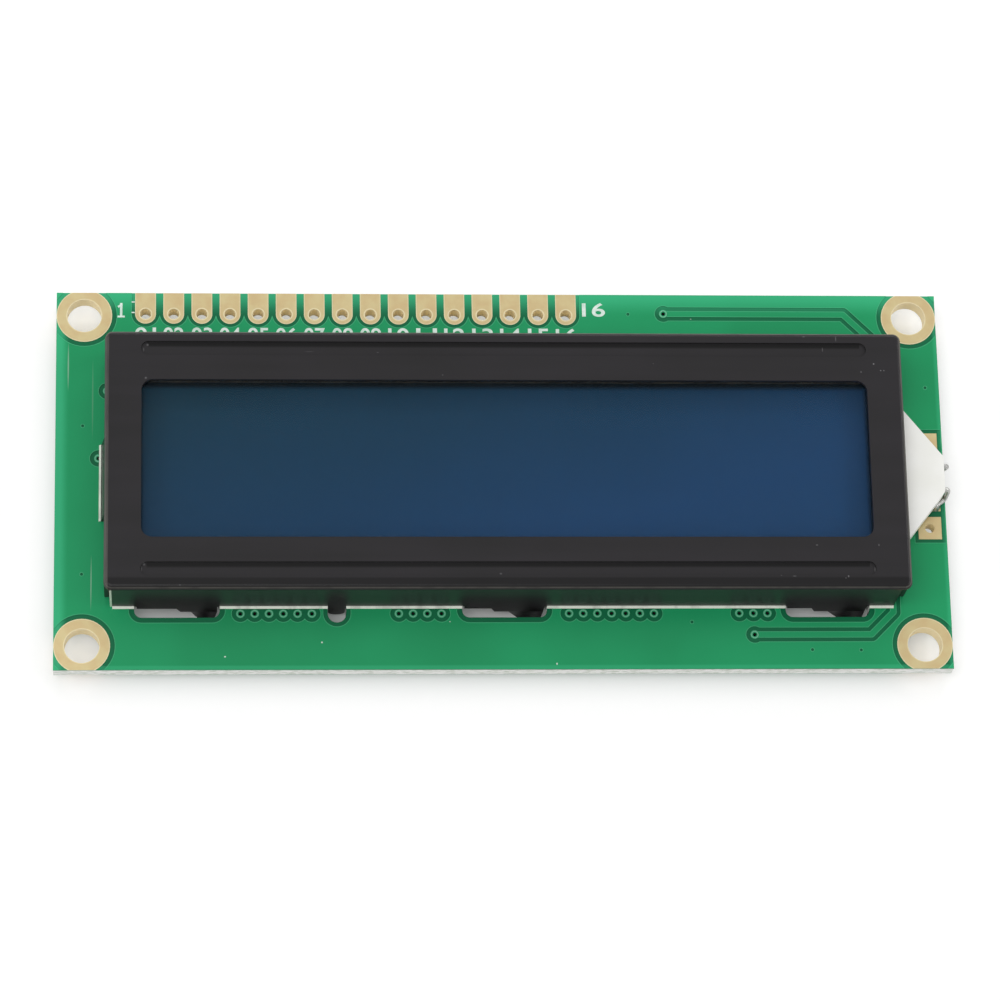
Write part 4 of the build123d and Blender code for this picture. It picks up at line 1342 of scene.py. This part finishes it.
@dataclass
class BackParts:
    """What is soldered and glued to the board's back."""

    solder: ChipSolder = field(default_factory=ChipSolder)

    def build(self, shop: Workshop) -> None:
        """Dress the back's nodes and add the chips' solder."""
        self.solder.build(shop)
        shop.dress("controller_blob", Slot.EPOXY)
        shop.dress("driver_blob", Slot.EPOXY)
        shop.dress("chip_resistors", Slot.RESISTOR)
        shop.dress("chip_capacitors", Slot.CAPACITOR)


@dataclass(frozen=True)
class Lamp:
    """A soft rectangular lamp that looks at the module. Millimetres and watts."""

    name: str
    place: tuple[float, float, float]
    size: tuple[float, float]
    power: float

    def hang(self) -> None:
        """Put the lamp in the scene."""
        data = bpy.data.lights.new(self.name, "AREA")
        data.shape = "RECTANGLE"
        data.size, data.size_y = self.size[0] * MM, self.size[1] * MM
        data.energy = self.power
        lamp = bpy.data.objects.new(self.name, data)
        bpy.context.collection.objects.link(lamp)
        spot = Vector(self.place) * MM
        lamp.matrix_world = Matrix.Translation(spot) @ spot.to_track_quat("Z", "Y").to_matrix().to_4x4()


@dataclass
class Studio:
    """The white floor, the lamps, the world and the camera."""

    lamps: tuple[Lamp, ...] = (
        Lamp("top_lamp", (-130.0, -90.0, 520.0), (240.0, 240.0), 0.52),
        Lamp("back_strip", (60.0, 400.0, 300.0), (420.0, 80.0), 0.5),
        Lamp("left_strip", (-400.0, 0.0, 300.0), (400.0, 80.0), 0.4),
        Lamp("right_strip", (410.0, 30.0, 300.0), (400.0, 80.0), 0.5),
    )
    floor_size: float = 4000.0
    camera_place: tuple[float, float, float] = (-28.24, -122.85, 375.74)
    camera_right: tuple[float, float, float] = (0.9974786, -0.0211097, 0.0677558)
    camera_down: tuple[float, float, float] = (0.0007447, -0.9515702, -0.3074308)
    camera_forward: tuple[float, float, float] = (0.0709642, 0.3067061, -0.9491551)
    lens: float = 158.327
    sensor: float = 36.0
    world_level: float = 0.6
    hole_place: tuple[float, float] = (37.5, 15.5)
    hole_shift: float = 0.6
    board_half: tuple[float, float] = (36.5, 14.4)
    paper_glow: float = 0.27
    under_glow: float = 0.1
    hole_glow: float = 0.3
    hole_fade: tuple[float, float] = (2.3, 1.9)
    paper: tuple[Colour, Colour] = ((0.78, 0.78, 0.78, 1.0), (0.8, 0.8, 0.8, 1.0))

    def _floor(self, height: float) -> None:
        """Lay a white floor under the lowest point."""
        deselect()
        bpy.ops.mesh.primitive_plane_add(size=self.floor_size * MM, location=(0.0, 0.0, height))
        floor = bpy.context.object
        floor.name = "floor"
        settle(floor)
        material = bpy.data.materials.new("floor_paper")
        material.use_nodes = True
        graph = Graph(material.node_tree)
        shader = material.node_tree.nodes["Principled BSDF"]
        place = graph.millimetres()
        cloud = graph.noise(place, 0.01, 2.0)
        paper = graph.blend(cloud, *self.paper)
        material.node_tree.links.new(paper, shader.inputs["Base Color"])
        shader.inputs["Roughness"].default_value = 0.9
        shader.inputs["Specular IOR Level"].default_value = 0.0
        path = graph.add("ShaderNodeLightPath").outputs["Is Camera Ray"]
        x, y, _ = graph.axes(place)
        # Painted light and shade: the camera-ray glow is lower under the board and rises again in pools
        # under the mounting holes.
        outside = []
        for value, half in zip((x, y), self.board_half):
            outside.append(graph.over(graph.math("ABSOLUTE", value), half))
        level = graph.level(graph.either(*outside), self.under_glow, self.paper_glow)
        away = []
        for value, middle in zip((x, graph.math("SUBTRACT", y, self.hole_shift)), self.hole_place):
            away.append(graph.math("SUBTRACT", graph.math("ABSOLUTE", value), middle))
        hole = graph.ease(graph.reach(*away), *self.hole_fade)
        level = graph.either(level, graph.both(hole, self.hole_glow))
        glow = graph.add("ShaderNodeEmission", {"Strength": level, "Color": (1.0, 1.0, 1.0, 1.0)})
        dark = graph.add("ShaderNodeEmission", {"Strength": 0.0})
        seen = graph.add("ShaderNodeMixShader", {0: path, 1: dark.outputs[0], 2: glow.outputs[0]})
        both = graph.add("ShaderNodeAddShader", {0: shader.outputs[0], 1: seen.outputs[0]})
        output = material.node_tree.nodes["Material Output"]
        material.node_tree.links.new(both.outputs[0], output.inputs[0])
        floor.data.materials.append(material)

    def _world(self) -> None:
        """Light everything evenly from all round."""
        world = bpy.data.worlds.new("studio")
        bpy.context.scene.world = world
        world.use_nodes = True
        background = world.node_tree.nodes["Background"]
        background.inputs["Color"].default_value = (1.0, 1.0, 1.0, 1.0)
        background.inputs["Strength"].default_value = self.world_level

    def _camera(self) -> None:
        """Look at the module as the photograph does."""
        data = bpy.data.cameras.new("camera")
        data.sensor_fit = "HORIZONTAL"
        data.sensor_width = self.sensor
        data.lens = self.lens
        data.clip_start = 0.01
        data.clip_end = 10.0
        camera = bpy.data.objects.new("camera", data)
        bpy.context.collection.objects.link(camera)
        right, down, forward = map(Vector, (self.camera_right, self.camera_down, self.camera_forward))
        turn = Matrix((right, -down, -forward)).transposed().to_4x4()
        camera.matrix_world = Matrix.Translation(Vector(self.camera_place) * MM) @ turn
        bpy.context.scene.camera = camera

    def build(self, height: float) -> None:
        """Set up the studio round the module."""
        self._floor(height)
        for lamp in self.lamps:
            lamp.hang()
        self._world()
        self._camera()
        bpy.context.scene.view_settings.view_transform = "Standard"


def finishes() -> list[Finish]:
    """Every finish of the module, one for each slot."""
    return [
        SolderMask(Slot.BOARD, roughness=0.32, specular=0.25, bump_mm=0.004),
        GoldPlate(Slot.GOLD, roughness=0.38, metallic=0.7, bump_mm=0.008),
        BlackPaint(Slot.BEZEL_PAINT, roughness=0.3, specular=0.25, bump_mm=0.004),
        PlainFinish(
            Slot.POLARIZER, roughness=0.2, specular=0.35, alpha=0.15, bump_mm=0.0005, roughness_spread=0.03,
            light=screen_colour(18, 32, 46), dark=screen_colour(14, 26, 38), cloud_scale=0.05,
        ),
        PlainFinish(
            Slot.CELL_GLASS, roughness=0.06, specular=0.3, alpha=0.04, bump_mm=0.0005,
            light=screen_colour(70, 110, 120), dark=screen_colour(60, 100, 112), cloud_scale=0.05,
            roughness_spread=0.02,
        ),
        BlueCrystal(Slot.CRYSTAL, roughness=0.4, specular=0.2, bump_mm=0.0005),
        PlainFinish(
            Slot.SEAL, roughness=0.45, bump_mm=0.004, light=screen_colour(96, 90, 78),
            dark=screen_colour(70, 64, 56), cloud_scale=0.6,
        ),
        LayeredRubber(Slot.ZEBRA_RUBBER, roughness=0.6, bump_mm=0.004),
        PlainFinish(
            Slot.WHITE_PLASTIC, roughness=0.45, bump_mm=0.006, light=screen_colour(250, 250, 246),
            dark=screen_colour(244, 244, 238), cloud_scale=0.25,
        ),
        PlainFinish(
            Slot.LIGHT_GUIDE, roughness=0.1, alpha=0.4, bump_mm=0.001, light=screen_colour(236, 240, 240),
            dark=screen_colour(222, 230, 230), roughness_spread=0.03,
        ),
        PlainFinish(
            Slot.FILM, roughness=0.5, bump_mm=0.001, light=screen_colour(244, 244, 244),
            dark=screen_colour(236, 237, 238),
        ),
        PlainFinish(
            Slot.LED_RESIN, roughness=0.25, bump_mm=0.003, light=screen_colour(240, 232, 160),
            dark=screen_colour(232, 214, 120), cloud_scale=1.0,
        ),
        PlainFinish(
            Slot.TIN, roughness=0.32, metallic=1.0, bump_mm=0.01, light=screen_colour(214, 214, 210),
            dark=screen_colour(176, 176, 174), cloud_scale=1.6, grain_scale=8.0,
        ),
        PlainFinish(
            Slot.EPOXY, roughness=0.28, bump_mm=0.02, light=screen_colour(34, 34, 36),
            dark=screen_colour(22, 22, 24), cloud_scale=0.3, grain_scale=3.0,
        ),
        ChipBody(Slot.RESISTOR, roughness=0.35, bump_mm=0.006, centre_x=26.5),
        ChipBody(
            Slot.CAPACITOR, roughness=0.4, bump_mm=0.006, centre_x=-26.5, body=screen_colour(176, 140, 100),
            body_light=screen_colour(190, 154, 112),
        ),
        PlainFinish(
            Slot.SILKSCREEN, roughness=0.55, bump_mm=0.003, light=screen_colour(228, 240, 232),
            dark=screen_colour(200, 224, 210), cloud_scale=2.0,
        ),
    ]


def main() -> None:
    """Build the module's looks in order, and then the studio."""
    logging.basicConfig(level=logging.INFO, format="%(name)s %(message)s")
    shop = Workshop(finishes())
    for assembly in (CircuitBoard(), DisplayCell(), Backlight(), Bezel(), BackParts()):
        assembly.build(shop)
        LOG.info("%s dressed", type(assembly).__name__)
    Studio().build(CAD_BOX[0][2])
    LOG.info("pieces added: %s", ", ".join(shop.pieces))


if __name__ == "__main__":
    main()
